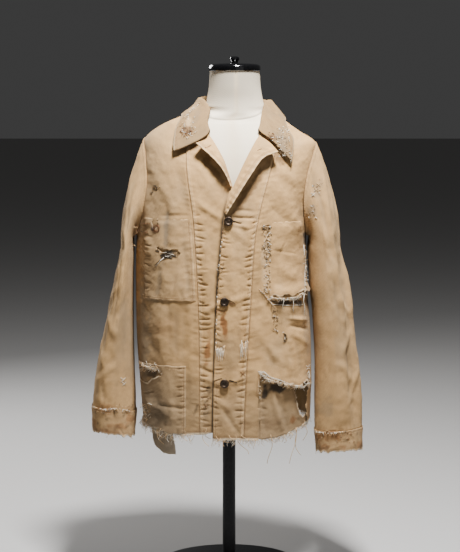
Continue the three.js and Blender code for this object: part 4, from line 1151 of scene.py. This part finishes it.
# Patches and pockets
def patch(name, start, end, low, high, columns, base, seed,
          out=PATCH_OUT, hem=None, rips=(), torn=0.7, flush=(), sewn=()):
    """A cloth laid on a front, a little proud of it except at its flush edges, and sewn along some edges."""
    angle, height = strip(start, end, low, high, columns, hem=hem, tear=PATCH_TEAR)
    plain = body(angle, height)
    x = plain[..., 0]
    share = np.linspace(0, 1, columns)[None, :] + 0 * x
    wide = np.linalg.norm(plain[:, -1:] - plain[:, :1], axis=-1)
    off = {
        "first": share * wide,
        "last": (1 - share) * wide,
        "low": height - height[:1],
        "high": height[-1:] - height,
    }
    nearest = np.minimum.reduce(list(off.values()))
    raise_by = out(x, height) if callable(out) else out
    for edge in flush:
        raise_by = raise_by * mix(0.1, 1, smooth(off[edge], 0, 12))
    side_off, row_off = np.minimum(off["first"], off["last"]), np.minimum(off["low"], off["high"])
    puckers = pucker(side_off - 5, height, 9, 14, 0.9, seed) + pucker(row_off - 5, x, 9, 13, 0.9, seed + 5)
    lift = raise_by + front_relief(plain) + 0.5 * np.maximum(puckers, -0.8)
    lift = lift + 0.4 * cloud(x, height, 22, seed + 9)
    shift = 1.2 * noise(x, height, 6, seed + 13) * (1 - smooth(nearest, 0, 6))
    grid = on_body(angle, height + shift, lift)
    normal = grid_normals(grid, body_normal(angle, height))
    colours = front_paint(base, plain, seed)
    to_edge = {
        "last": (grid, normal),
        "low": (turned(grid), turned(normal)),
        "high": (turned(grid)[:, ::-1], turned(normal)[:, ::-1]),
    }
    for edge in sewn:
        colours = blend(colours, BROWN, 0.3 * bell(off[edge] - 4, 1.4))
        for inset in PATCH_ROWS:
            sew_inset(*to_edge[edge], inset)
    colours = edge_paint(colours, nearest, wear=0.08)
    removed = np.zeros(x.shape, bool)
    for rip in rips:
        removed |= inside(x, height, rip)
        colours = edge_paint(colours, edge_distance(x, height, rip), wear=torn)
    shell(name, grid, normal, colours, [name], cells(removed), cloth=PATCH_CLOTH)


BAG_FROM = through([[-36, -146], [-20, -165], [10, -171], [70, -173]])
BAG_TO = through([[-36, -117], [-20, -117], [10, -122], [70, -125]])
LEFT_PATCH_EDGE = through([[292, 80], [400, 72], [460, 62]])


def lifted_low(_, height):
    return PATCH_OUT + 8 * (1 - smooth(height, 298, 335))


def bag_drop(_, height):
    return UNDER_OUT - 8 * (1 - smooth(height, 0, 60))


def make_patches():
    patch("chest_patch_left", from_x(lambda h: 84 + 0 * h), lambda h: np.radians(LEFT_PATCH_EDGE(h)),
          293, 459, 48, TAN, 1100,
          out=lifted_low, rips=[CHEST_PATCH_TEAR], flush=["high", "first"])
    patch("chest_patch_right", from_x(lambda h: -right_width(h) * 0.91), from_x(lambda h: right_seam(h) - 5),
          294, 465, 54, PATCH_TAN, 1200,
          rips=[CHEST_HOLE, CHEST_SLIT], torn=0.15, flush=["high", "first", "last"], sewn=["low", "last"])
    patch("lower_pocket_right", from_x(lambda h: -right_width(h) * 0.985), from_x(lambda h: -90 + 0 * h),
          1.5, 157, 62, WORN_AND_SHADED_TAN, 1300,
          hem=right_hem, rips=[POCKET_RIP], flush=["first", "last"], sewn=["high", "last"])
    patch("underlay_left", from_x(lambda h: 58 + 0 * h), from_x(lambda h: left_width(h) * 0.992),
          1, 150, 64, WORN_AND_SHADED_TAN, 1400,
          out=UNDER_OUT, hem=left_hem, rips=[UNDERLAY_RIP])
    patch("pocket_bag_right", from_x(BAG_FROM), from_x(BAG_TO),
          -36, 70, 26, POCKETING, 1500, out=bag_drop)


# Threads
threads = []  # path, radius and colour of each thread that lies on or hangs from the cloth


def on_piece(name, columns, rows, out):
    """Points above a cloth, where the photo shows them on it."""
    grid, normal = surfaces[name]
    front = normal[..., 1] < -0.15
    points, lean = grid[front], normal[front]
    x, height = as_seen(points)
    to_x, to_height = seen(columns, rows)
    nearest = ((x - to_x[:, None]) ** 2 + (height - to_height[:, None]) ** 2).argmin(1)
    dx, dz = to_x - x[nearest], to_height - height[nearest]
    lean = lean[nearest]
    dy = np.clip(-(lean[:, 0] * dx + lean[:, 2] * dz) / lean[:, 1], -3, 3)
    return points[nearest] + np.stack([dx, dy, dz], -1) + lean * np.asarray(out + 0 * dx)[:, None]


def lay(name, columns, rows, colour, radius=0.45, out=0.5):
    path = on_piece(name, np.asarray(columns, float), np.asarray(rows, float), out)
    threads.append((path, radius, colour))


def choose(colours):
    return colours[rng.integers(len(colours))]


def darn(name, box, count, colours, upright=False, radius=0.52, slant=1.5):
    """Threads sewn to and fro across a box of the photo."""
    left, top, right, low = box
    t = np.linspace(0, 1, 6)
    for k in range(count):
        share = (k + rng.uniform(0.1, 0.9)) / count
        inset = rng.uniform(0, 0.42, 2)
        run = mix(inset[0], 1 - inset[1], t)
        sway = slant * (t - 0.5) * rng.uniform(-1, 1) + 0.3 * np.sin(5 * t + rng.uniform(0, 6))
        if upright:
            lay(name, mix(left, right, share) + sway, mix(top, low, run), choose(colours), radius)
        else:
            lay(name, mix(left, right, run), mix(top, low, share) + sway, choose(colours), radius)


def fuzz(name, box, count, longest, colours):
    """Short worn ends of threads that lie every way in a box of the photo."""
    left, top, right, low = box
    t = np.linspace(-0.5, 0.5, 4)
    for _ in range(count):
        column, row = rng.uniform(left, right), rng.uniform(top, low)
        length, way, bend = longest * rng.uniform(0.35, 1), rng.uniform(0, np.pi), rng.normal(0, 1.2)
        columns = column + length * t * np.cos(way + bend * t)
        rows = row + length * t * np.sin(way + bend * t)
        lay(name, columns, rows, choose(colours), rng.uniform(0.45, 0.75), rng.uniform(0.3, 1.2))


def wear_back():
    """Loose threads in the worn places of the back."""
    t = np.linspace(-0.5, 0.5, 4)
    for middle, level, reach, count in BACK_WEAR:
        for _ in range(count):
            off, rise = rng.normal(0, reach / 1.6, 2)
            length, way = rng.uniform(3, 9), rng.uniform(0, np.pi)
            angle = np.radians(middle + (off + length * t * np.cos(way)) / BACK_SPAN)
            height = level + rise + length * t * np.sin(way)
            path = on_body(angle, height, back_relief(angle, height) + rng.uniform(0.3, 1.2))
            threads.append((path, rng.uniform(0.4, 0.65), choose(FRAY)))


def cross(name, column, row, half, colour):
    """One cross stitch."""
    step = np.array([-half, 0, half])
    for lean in (-1, 1):
        lay(name, column + step, row + lean * step, colour, 0.55)


def loop(name, column, row, wide, high, colour):
    turn = np.linspace(0, 6.6, 12) + rng.uniform(0, 6)
    reach = 1 + 0.2 * rng.normal(size=12)
    lay(name, column + wide * reach * np.cos(turn), row + high * reach * np.sin(turn), colour, 0.5)


def fringe(name, path, count, longest, colours, fall=90, spread=0.5):
    """Short threads that stand off a torn edge; fall is their way in degrees, 90 being down."""
    corners = np.array(path, float)
    at = run_along(corners, 0)
    t = np.linspace(0, 1, 5)
    for where in rng.uniform(0, at[-1], count):
        column, row = (np.interp(where, at, corners[:, k]) for k in range(2))
        way = np.radians(fall) + rng.normal(0, spread)
        length = longest * (0.25 + 0.75 * rng.random() ** 2)
        bend = way + t * rng.normal(0, 0.7)
        columns, rows = column + np.cos(bend) * length * t, row + np.sin(bend) * length * t
        lay(name, columns, rows, choose(colours), rng.uniform(0.4, 0.75), 0.5 + rng.uniform(0, 2.5) * t)


FRAY = [WHITE_THREAD, WHITE_THREAD * 0.85, TAN_THREAD, PALE]
BLACK_AND_WHITE = [DARK_THREAD, WHITE_THREAD, DARK_THREAD, TAN_THREAD]
BROWNS = [BROWN_THREAD, BROWN_THREAD * 0.6, WHITE_THREAD]
PLACKET_THREADS = [DARK_THREAD, DARK_THREAD, BROWN_THREAD, WHITE_THREAD]
# Darned places, in pixels of the photo: cloth, left, top, right, low, count, colours, upright
DARNS = [
    ("chest_patch_right", (160, 251.5, 178, 258.5), 9, [DARK_THREAD], False),
    ("chest_patch_right", (164, 252, 175, 257), 5, [WHITE_THREAD], False),
    ("chest_patch_right", (174, 253, 178, 258.5), 6, [DARK_THREAD], True),
    ("chest_patch_right", (155, 249, 160, 252), 4, [DARK_THREAD], False),
    ("chest_patch_right", (142, 222.5, 151, 226), 2, [BROWN_THREAD], False),
    ("chest_patch_right", (142, 231, 152, 233.5), 2, [BROWN_THREAD], False),
    ("centre_front_left", (216, 345, 225, 362), 26, FRAY, True),
    ("centre_front_left", (240, 340, 250, 360), 30, FRAY, True),
    ("side_front_left", (261, 225, 271, 230), 6, [DARK_THREAD, TAN_THREAD], False),
    ("side_front_left", (260, 371, 267, 378), 7, FRAY, False),
]
# Fuzzy worn places, in pixels of the photo: cloth, left, top, right, low, count, longest, colours
FUZZ = [
    ("side_front_left", (262, 226, 271, 234), 26, 3.5, BLACK_AND_WHITE),
    ("side_front_left", (264, 234, 271, 246), 30, 3, BLACK_AND_WHITE),
    ("side_front_left", (262, 245, 271, 253), 30, 3, BLACK_AND_WHITE),
    ("side_front_left", (264, 252, 271, 262), 24, 2.6, BLACK_AND_WHITE),
    ("side_front_left", (263, 262, 270, 280), 24, 2.6, FRAY),
    ("side_front_left", (264, 278, 271, 296), 30, 2.6, BLACK_AND_WHITE),
    ("side_front_left", (273, 310, 278, 332), 34, 2.6, BLACK_AND_WHITE),
    ("collar", (180, 126, 193, 137), 30, 4, BROWNS), ("collar", (182, 116, 196, 128), 16, 3, FRAY),
    ("collar", (277, 126, 288, 157), 60, 3, [GREYED, TAN_THREAD, TAN_THREAD, WHITE_THREAD]),
    ("collar", (268, 133, 277, 141), 14, 3, BROWNS),
    ("sleeve_left", (307, 205, 318, 218), 16, 3, [GREYED, TAN_THREAD, WHITE_THREAD]),
    ("sleeve_left", (311, 179, 322, 197), 14, 3, [GREYED, TAN_THREAD, WHITE_THREAD]),
    ("cuff_right", (94, 404, 134, 414), 30, 3, [GREYED, TAN_THREAD, BROWN_THREAD]),
    ("cuff_left", (314, 430, 354, 442), 30, 3, [GREYED, TAN_THREAD, BROWN_THREAD]),
    ("lower_pocket_right", (139, 362, 157, 371), 40, 5, FRAY),
    ("lower_pocket_right", (143, 403, 151, 420), 30, 4, FRAY),
    ("centre_front_left", (217, 263, 224, 275), 16, 3, BLACK_AND_WHITE),
    ("side_front_left", (282, 332, 287, 343), 16, 3, BLACK_AND_WHITE),
    ("side_front_right", (152, 185, 160, 193), 12, 4, [DARK_THREAD, TAN_THREAD]),
    ("centre_front_right", (202, 396, 212, 408), 14, 3, [GREYED, BROWN_THREAD, TAN_THREAD]),
    ("chest_patch_right", (132, 226, 142, 250), 20, 3, [DARK_THREAD, BROWN_THREAD, TAN_THREAD]),
]
# Torn edges, in pixels of the photo: cloth, path, count, longest, way in degrees
FRINGES = [
    ("side_front_left", [
        (259, 371), (266, 378), (272, 380), (283, 383), (294, 385), (304, 386), (310, 382),
    ], 130, 6, 90),
    ("side_front_left", [(309, 363), (309, 384)], 36, 4, 160),
    ("chest_patch_left", [(269, 297), (283, 298), (296, 297), (303, 292)], 110, 5, 95),
    ("chest_patch_left", [(303.5, 245), (305, 270), (304.5, 296)], 80, 3, 20),
    ("chest_patch_left", [(259, 289), (266, 296), (273, 305)], 40, 3, 60),
    ("lower_pocket_right", [(141, 364), (147, 366), (157, 369)], 80, 5, 95),
    ("lower_pocket_right", [(143, 403), (148, 420)], 30, 4, 170),
    ("collar", [(184, 119), (192, 111), (201, 103)], 30, 2, 200),
    ("collar", [(180, 130), (187, 137), (196, 131)], 10, 3, 80),
    ("collar", [(288, 126), (289, 150), (291, 163)], 40, 2, 20),
    ("cuff_right", [(92, 406), (104, 409), (116, 408), (132, 411)], 60, 3, 90),
    ("cuff_left", [(314, 431), (330, 433), (345, 431)], 50, 3, 90),
    ("underlay_left", [(259.5, 372), (259.5, 400)], 16, 3, 60),
]
# Cross stitches: cloth, column, row, half size in pixels, colour
CROSSES = [
    ("centre_front_left", 243, 374, 2.4, BROWN_THREAD), ("sleeve_right", 123, 380, 2.4, WHITE_THREAD),
    ("sleeve_right", 124, 384, 1.8, WHITE_THREAD), ("sleeve_left", 313, 195, 2, WHITE_THREAD),
    ("sleeve_left", 316, 190, 2, TAN_THREAD), ("sleeve_left", 318.5, 185, 2, TAN_THREAD),
]
# Loops round holes: cloth, column, row, half width, half height, colour
LOOPS = [
    ("chest_patch_right", 156.5, 228.5, 3, 3.2, BROWN_THREAD),
    ("chest_patch_right", 156.5, 228.5, 2.4, 3.6, BROWN_THREAD),
    ("chest_patch_right", 156, 228, 3.2, 2.6, BROWN_THREAD),
    ("side_front_left", 263, 374.5, 3, 3, WHITE_THREAD),
]
# Single threads, buttonholes and bars: cloth, colour, columns, rows
SINGLE_THREADS = [
    ("centre_front_left", DARK_THREAD, [232, 236, 242], [220.5, 221.5, 222.5]),
    ("centre_front_left", DARK_THREAD, [232, 237, 241], [221.3, 222.3, 223]),
    ("centre_front_left", DARK_THREAD, [229, 232, 235], [300, 301.5, 303.5]),
    ("centre_front_left", BROWN_THREAD, [229, 232, 236], [303, 304, 303.6]),
    ("centre_front_left", DARK_THREAD, [214, 218, 222], [381, 379.5, 378.2]),
    ("centre_front_left", DARK_THREAD, [229, 233, 237], [380, 381, 382.4]),
    ("centre_front_left", DARK_THREAD, [229, 233, 237], [380.8, 381.8, 383.2]),
    ("chest_patch_right", DARK_THREAD, [163, 160, 155], [257, 260, 265]),
    ("chest_patch_right", WHITE_THREAD, [164, 160, 156], [257.5, 261, 266]),
    ("chest_patch_left", WHITE_THREAD, [283, 283.5, 282.6, 283.2], [298, 302, 306, 310]),
    ("chest_patch_left", WHITE_THREAD, [293, 293.6, 292.8, 293.4], [299, 304, 308, 312]),
    ("chest_patch_left", WHITE_THREAD, [304, 303.4, 304.6, 304], [294, 301, 308, 315]),
    ("chest_patch_left", WHITE_THREAD,
     [303.5, 304.5, 305.4, 304.4, 305, 303], [245, 257, 265, 275, 289, 296]),
    ("chest_patch_left", WHITE_THREAD,
     [270, 276, 284, 294, 300, 303], [297, 298.4, 299.6, 299.8, 297.4, 294]),
    ("side_front_left", WHITE_THREAD, [273, 280, 288, 297, 303], [304.4, 304.8, 305.4, 305.2, 304.8]),
    ("side_front_left", TAN_THREAD, [259, 264, 271, 275, 276], [289, 294, 303, 308, 314]),
    ("side_front_left", WHITE_THREAD,
     [258, 264, 270, 280, 292, 303, 308], [371.5, 371.5, 377, 380, 385, 387, 383]),
    ("side_front_left", WHITE_THREAD,
     [259, 264, 270, 281, 291, 304, 309], [373, 372.6, 378, 381, 386, 388, 382]),
    ("side_front_left", WHITE_THREAD, [307.5, 309.5, 308.5, 310], [384, 376, 370, 364]),
    ("lower_pocket_right", WHITE_THREAD, [141, 147, 153, 158], [365, 368, 367, 368.5]),
    ("lower_pocket_right", WHITE_THREAD, [142, 148, 152, 157], [368.5, 369, 371, 370]),
    ("lapel_left", DARK_THREAD, [257.5, 259.5, 262], [150.6, 149.6, 148.8]),
    ("lapel_right", BROWN_THREAD, [205, 208, 211], [148, 147, 145]),
]
PLACKET_EDGE = through([[216, 226.4], [228, 222.8], [245, 220.8], [270, 218.6], [300, 216.8], [350, 215.2]])


def sew_placket():
    """Coarse dark stitches down the free edge of the placket."""
    for row in np.arange(218, 346, 4.6):
        rows = row + np.array([0, 1.4, 2.6]) + rng.uniform(-0.6, 0.6)
        columns = PLACKET_EDGE(rows) + rng.uniform(-0.3, 0.6) + np.array([0, 0.4, 0.1])
        lay("centre_front_left", columns, rows, choose(PLACKET_THREADS), 0.85)


def make_darns():
    sew_placket()
    for name, box, count, colours, upright in DARNS:
        darn(name, box, count, colours, upright)
    for name, box, count, longest, colours in FUZZ:
        fuzz(name, box, count, longest, colours)
    for name, path, count, longest, fall in FRINGES:
        fringe(name, path, count, longest, FRAY, fall)
    for name, column, row, half, colour in CROSSES:
        cross(name, column, row, half, colour)
    for name, column, row, wide, high, colour in LOOPS:
        loop(name, column, row, wide, high, colour)
    for name, colour, columns, rows in SINGLE_THREADS:
        lay(name, columns, rows, colour, 0.7)
    wear_back()
    for side in SIDE:
        fray_cuff(side)


def hanging_thread(root, length, lean, curl, steps=9):
    """A loose thread that falls from its root, curling as it goes."""
    t = np.linspace(0, 1, steps)
    phase = rng.uniform(0, 6.3, 2)
    sway = curl * t * np.sin(4.2 * t + phase[0])
    fore = 0.6 * curl * t * np.sin(3.1 * t + phase[1])
    drop = -length * t * (1 - 0.12 * np.sin(3 * t + phase[0]))
    return np.asarray(root) + np.stack([lean * t + sway, fore - t, drop], -1)


def fray_cuff(side):
    """Threads that hang from the worn end of a cuff."""
    edge = surfaces["cuff_" + side][0][-1]
    for k in rng.integers(0, len(edge), 70):
        length = 9 * (0.2 + 0.8 * rng.random() ** 3)
        path = hanging_thread(edge[k] + [0, 0, 1], length, rng.normal(0, 0.3) * length, 0.2 * length, steps=5)
        threads.append((path, rng.uniform(0.3, 0.45), choose(FRAY)))


def tubes(name, strands, replaced=(), sides=3):
    """Many thin threads as one piece; each is a path of points, a radius and a colour."""
    points, faces, paint = [], [], []
    for path, radius, colour in strands:
        base, count = len(points), len(path)
        ahead = unit(np.gradient(path, axis=0))
        lead = np.where(np.abs(ahead[:, 2:3]) > 0.8, [[1.0, 0, 0]], [[0, 0, 1.0]])
        first = unit(np.cross(ahead, lead))
        second = np.cross(ahead, first)
        taper = radius * (1 - 0.35 * np.linspace(0, 1, count))
        for k in range(sides):
            turn = 2 * np.pi * k / sides
            points.extend(path + (first * np.cos(turn) + second * np.sin(turn)) * taper[:, None])
        paint.extend([colour] * (count * sides))
        for k in range(sides):
            a, b = base + k * count, base + ((k + 1) % sides) * count
            faces.extend([a + i, b + i, b + i + 1, a + i + 1] for i in range(count - 1))
        faces.append([base + k * count for k in range(sides)][::-1])
        faces.append([base + k * count + count - 1 for k in range(sides)])
    build(name, points, faces, np.array(paint), thread_cotton, replaced)


def fray_hem(name, first, last, count, hem, longest, out=0.0, long_threads=()):
    """The frayed hem of one front or of the back; long_threads go from and to pixels of the photo."""
    strands = []
    for angle in np.radians(np.sort(rng.uniform(first, last, count))):
        root = on_body(np.array(angle), np.array(hem(abs(np.degrees(angle))) + 1.5), np.array(out - 0.6))
        length = longest * (0.14 + 0.86 * rng.random() ** 4)
        path = hanging_thread(root, length, rng.normal(0, 0.2) * length, 0.2 * length + 1.5)
        strands.append((path, rng.uniform(0.35, 0.6), choose(FRAY)))
    for column, row, to_column, to_row in long_threads:
        (right, up), (to_right, to_up) = seen(column, row), seen(to_column, to_row)
        x, height = shown_at(right, up)
        root = on_front(x, height + 3, out - 0.4)[0]
        strands.append((hanging_thread(root, up - to_up, to_right - right, 9, steps=14), 0.9, PALE))
    tubes(name, strands, [name])


def make_frays():
    fray_hem("fray_right", -88, -20, 440, right_hem, 22, long_threads=[
        (141, 416, 143, 428), (144, 418, 142, 426), (158, 427, 160, 446), (162, 428, 158, 440),
        (167, 430, 169, 440), (185, 432, 187, 441), (204, 430, 205, 447), (206, 430, 208, 440),
    ])
    fray_hem("fray_left", -8, 17, 200, left_hem, 20, out=0.7, long_threads=[
        (214, 436, 226, 444), (226, 436, 214, 443), (228, 436, 236, 441), (236, 437, 246, 458),
        (241, 436, 247, 444),
    ])
    fray_hem("fray_underlay", 19, 79, 330, left_hem, 18, out=UNDER_OUT, long_threads=[
        (271, 436, 272, 464), (297, 429, 295, 463), (298, 429, 299, 456), (306, 422, 307, 444),
        (285, 433, 284, 446),
    ])
    fray_hem("fray_back", 93, 267, 460, back_hem, 26)


# Buttons, form and stand
def crisp(piece):
    modifier = piece.modifiers.new("crisp", "EDGE_SPLIT")
    modifier.split_angle = np.radians(40)


def lathe(name, profile, middle, axis, sides, material):
    """A turned piece: profile of radius and height along the axis from the middle point."""
    ahead = unit(np.asarray(axis, float))
    lead = np.array([0, 0, 1.0]) if abs(ahead[2]) < 0.9 else np.array([1.0, 0, 0])
    first = unit(np.cross(ahead, lead))
    second = np.cross(ahead, first)
    turns = np.linspace(0, 2 * np.pi, sides, endpoint=False)
    spokes = np.cos(turns)[:, None] * first + np.sin(turns)[:, None] * second
    points = np.concatenate([np.asarray(middle) + spokes * r + ahead * z for r, z in profile])
    faces = ring_faces(len(profile), sides)
    crisp(build(name, points, faces, tint(SOOT_AND_SHADOW, (len(points),)), material, [name]))


BUTTON = [
    (3, 0), (3, 1.6), (8.2, 1.7), (9.2, 2.2), (9.5, 2.9), (9.2, 3.7), (8.3, 4.3), (7.2, 4.35),
    (6.0, 4.0), (5.2, 3.4), (4.6, 3.0), (3.4, 2.8), (2.9, 3.1), (2.2, 3.2), (0.6, 3.2),
]


def make_buttons():
    for i, (x, height) in enumerate(BUTTON_PLACES):
        level = np.array(float(height))
        angle = angle_at(np.array(float(x)), level)
        seat = on_body(angle, level, np.array(LAP_RISE + 0.5))
        lathe(f"button_{i + 1}", BUTTON, seat, body_normal(angle, level), 48, button_metal)


# Rings of the form's neck: height, half width, half depth, middle depth
NECK = [
    (686, 68, 55, 6), (700, 63, 54, 5), (716, 59, 53, 3), (740, 55, 53, 0),
    (NECK_TOP, NECK_RADIUS, NECK_RADIUS, NECK_Y),
]
form_ease = through([
    [90, 34], [200, 36], [300, 30], [424, 20], [500, 15], [560, 10], [600, 7], [618, 5.2], [632, 3.6],
    [655, 3], [672, 6],
])
chest_ease = through([[424, 0], [540, 5], [672, 1.5]])


def form_rings(turns):
    levels = [*np.linspace(FORM_FOOT, UNDERARM, 8), 470, 515, 555, 590, 612, 626, 638, 650, 661, 672]
    heights = np.array(levels)[:, None]
    point = body(turns, heights + 2)
    reach = np.hypot(point[..., 0], point[..., 1])
    chest = chest_ease(heights) * np.maximum(0, np.cos(turns)) ** 2
    spare = form_ease(heights) + chest + drape(turns, heights + 2)
    torso = point * ((reach - spare) / reach)[..., None]
    torso[..., 2] = heights
    sine, cosine = np.sin(turns[0]), np.cos(turns[0])
    neck = [np.stack([NECK_X + wide * sine, middle - deep * cosine, height + 0 * sine], -1)
            for height, wide, deep, middle in NECK]
    return np.concatenate([torso, np.array(neck)])


def make_form():
    turns = np.linspace(0, 2 * np.pi, 150, endpoint=False)[None, :]
    grid = resample(form_rings(turns).transpose(1, 0, 2), 420).transpose(1, 0, 2)
    heights = grid[..., 2]
    degrees = apart(np.degrees(turns) + 0 * heights, 0)
    neck_seam = heights - (689 - 18.6 * np.maximum(0, np.cos(np.radians(degrees))) ** 3)
    centre_seam = np.radians(degrees) * 60
    groove = -0.8 * bell(neck_seam, 1.8) - 0.5 * bell(centre_seam - 3, 1.6)
    outward = grid_normals(grid, grid - grid.mean(1, keepdims=True), ring=True)
    grid = grid + outward * groove[..., None]
    colours = tint(LINEN, heights.shape) * (1 + 0.03 * cloud(degrees * 2.2, heights, 40, 211))[..., None]
    # Painted shade: the neck is darker above its seam
    colours = blend(colours, LINEN * 0.62, smooth(neck_seam, 0, 90))
    colours = blend(colours, LINEN * 0.35, 0.8 * bell(neck_seam, 1.3))
    colours = blend(colours, LINEN * np.array([0.93, 0.86, 0.76]), 0.6 * bell(centre_seam - 3, 5))
    form = build("dress_form", grid.reshape(-1, 3), ring_faces(*heights.shape), colours.reshape(-1, 3), linen,
                 ["dress_form"])
    crisp(form)


def make_stand():
    up = (0, 0, 1)
    cap = [(54, 0), (55, 1), (55.2, 4), (55, 9), (53.5, 12), (50, 14), (42, 15.5), (20, CAP_HEIGHT),
           (0.8, CAP_HEIGHT)]
    lathe("neck_cap", cap, (NECK_X, NECK_Y, NECK_TOP + GAP), up, 120, cap_lacquer)
    knob = [(7, 0), (7, 3), (8.2, 4.5), (9.8, 6.5), (10, 8.5), (9.2, 11.5), (6, 13.4), (0.8, 14)]
    cap_top = NECK_TOP + GAP + CAP_HEIGHT
    lathe("cap_knob", knob, (NECK_X, NECK_Y, cap_top + GAP), up, 64, cap_lacquer)
    plate = [(50, 0), (52, 0.8), (52, 5.2), (50, PLATE_THICK), (0.8, PLATE_THICK)]
    lathe("foot_plate", plate, (0, 0, FORM_FOOT - PLATE_THICK - GAP), up, 96, stand_paint)
    pole = [(14, BASE_THICK + GAP - HEM_HEIGHT), (14, FORM_FOOT - PLATE_THICK - 2 * GAP)]
    lathe("stand_pole", pole, (0, 0, 0), up, 64, stand_paint)
    base = [(149.5, 0), (150, 0.6), (150, 6), (149, 8), (146.5, 9.5), (144, BASE_THICK), (20, BASE_THICK),
            (0.8, BASE_THICK)]
    lathe("stand_base", base, (0, 0, -HEM_HEIGHT), up, 180, stand_paint)


# Stage, light and camera
FLOOR_REACH = 30.0
FLOOR_COLOUR = (0.42, 0.41, 0.40, 1)
WORLD_COLOUR = (0.62, 0.62, 0.62, 1)
WORLD_STRENGTH = 0.08
# Area lights: name, place in metres, watts, size; the key is small, because the photo's light is hard
LIGHTS = [
    ("key", (0.22, -0.66, 2.45), 168, 0.30),
    ("fill", (1.2, -3.0, 1.5), 4, 2.0),
    ("rim", (-1.4, 1.9, 1.7), 58, 1.0),
]
LIGHT_TARGET = (0, 0, 0.8)
SENSOR = 36  # width in millimetres
VIEW_TARGET = Vector((TARGET_X / 1000, 0, (HEM_HEIGHT + TARGET_HEIGHT) / 1000))
VIEW_HEIGHT = 2 * PHOTO_MIDDLE[1] * MM_PER_PIXEL / 1000


def make_stage():
    mesh = bpy.data.meshes.new("floor")
    far = FLOOR_REACH
    mesh.from_pydata([(-far, -far, 0), (far, -far, 0), (far, far, 0), (-far, far, 0)], [], [(0, 1, 2, 3)])
    material, _, shader = principled("pale_floor", 0.9)
    shader.inputs["Base Color"].default_value = FLOOR_COLOUR
    mesh.materials.append(material)
    floor = bpy.data.objects.new("floor", mesh)
    bpy.context.scene.collection.objects.link(floor)
    world = bpy.data.worlds.new("studio")
    world.use_nodes = True
    background = world.node_tree.nodes["Background"]
    background.inputs["Color"].default_value = WORLD_COLOUR
    background.inputs["Strength"].default_value = WORLD_STRENGTH
    bpy.context.scene.world = world


def aim(thing, target):
    thing.rotation_mode = "QUATERNION"
    thing.rotation_quaternion = (Vector(target) - thing.location).to_track_quat("-Z", "Y")


def add_light(name, place, power, size):
    data = bpy.data.lights.new(name, "AREA")
    data.energy = power
    data.size = size
    lamp = bpy.data.objects.new(name, data)
    lamp.location = place
    bpy.context.scene.collection.objects.link(lamp)
    aim(lamp, LIGHT_TARGET)


def make_camera():
    data = bpy.data.cameras.new("camera")
    data.sensor_width = SENSOR
    data.lens = SENSOR * CAMERA_REACH / 1000 / VIEW_HEIGHT
    camera = bpy.data.objects.new("camera", data)
    back = Vector((0, -np.cos(CAMERA_ELEVATION), np.sin(CAMERA_ELEVATION)))
    camera.location = VIEW_TARGET + back * (CAMERA_REACH / 1000)
    bpy.context.scene.collection.objects.link(camera)
    aim(camera, VIEW_TARGET)
    bpy.context.scene.camera = camera


make_camera()
make_stage()
for name, place, power, size in LIGHTS:
    add_light(name, place, power, size)
make_fronts()
make_back()
for side in SIDE:
    make_lapel(side)
    make_sleeve(side)
    make_cuff(side)
make_collar()
make_patches()
make_stitches()
make_darns()
tubes("threads", threads)
make_frays()
make_buttons()
make_form()
make_stand()
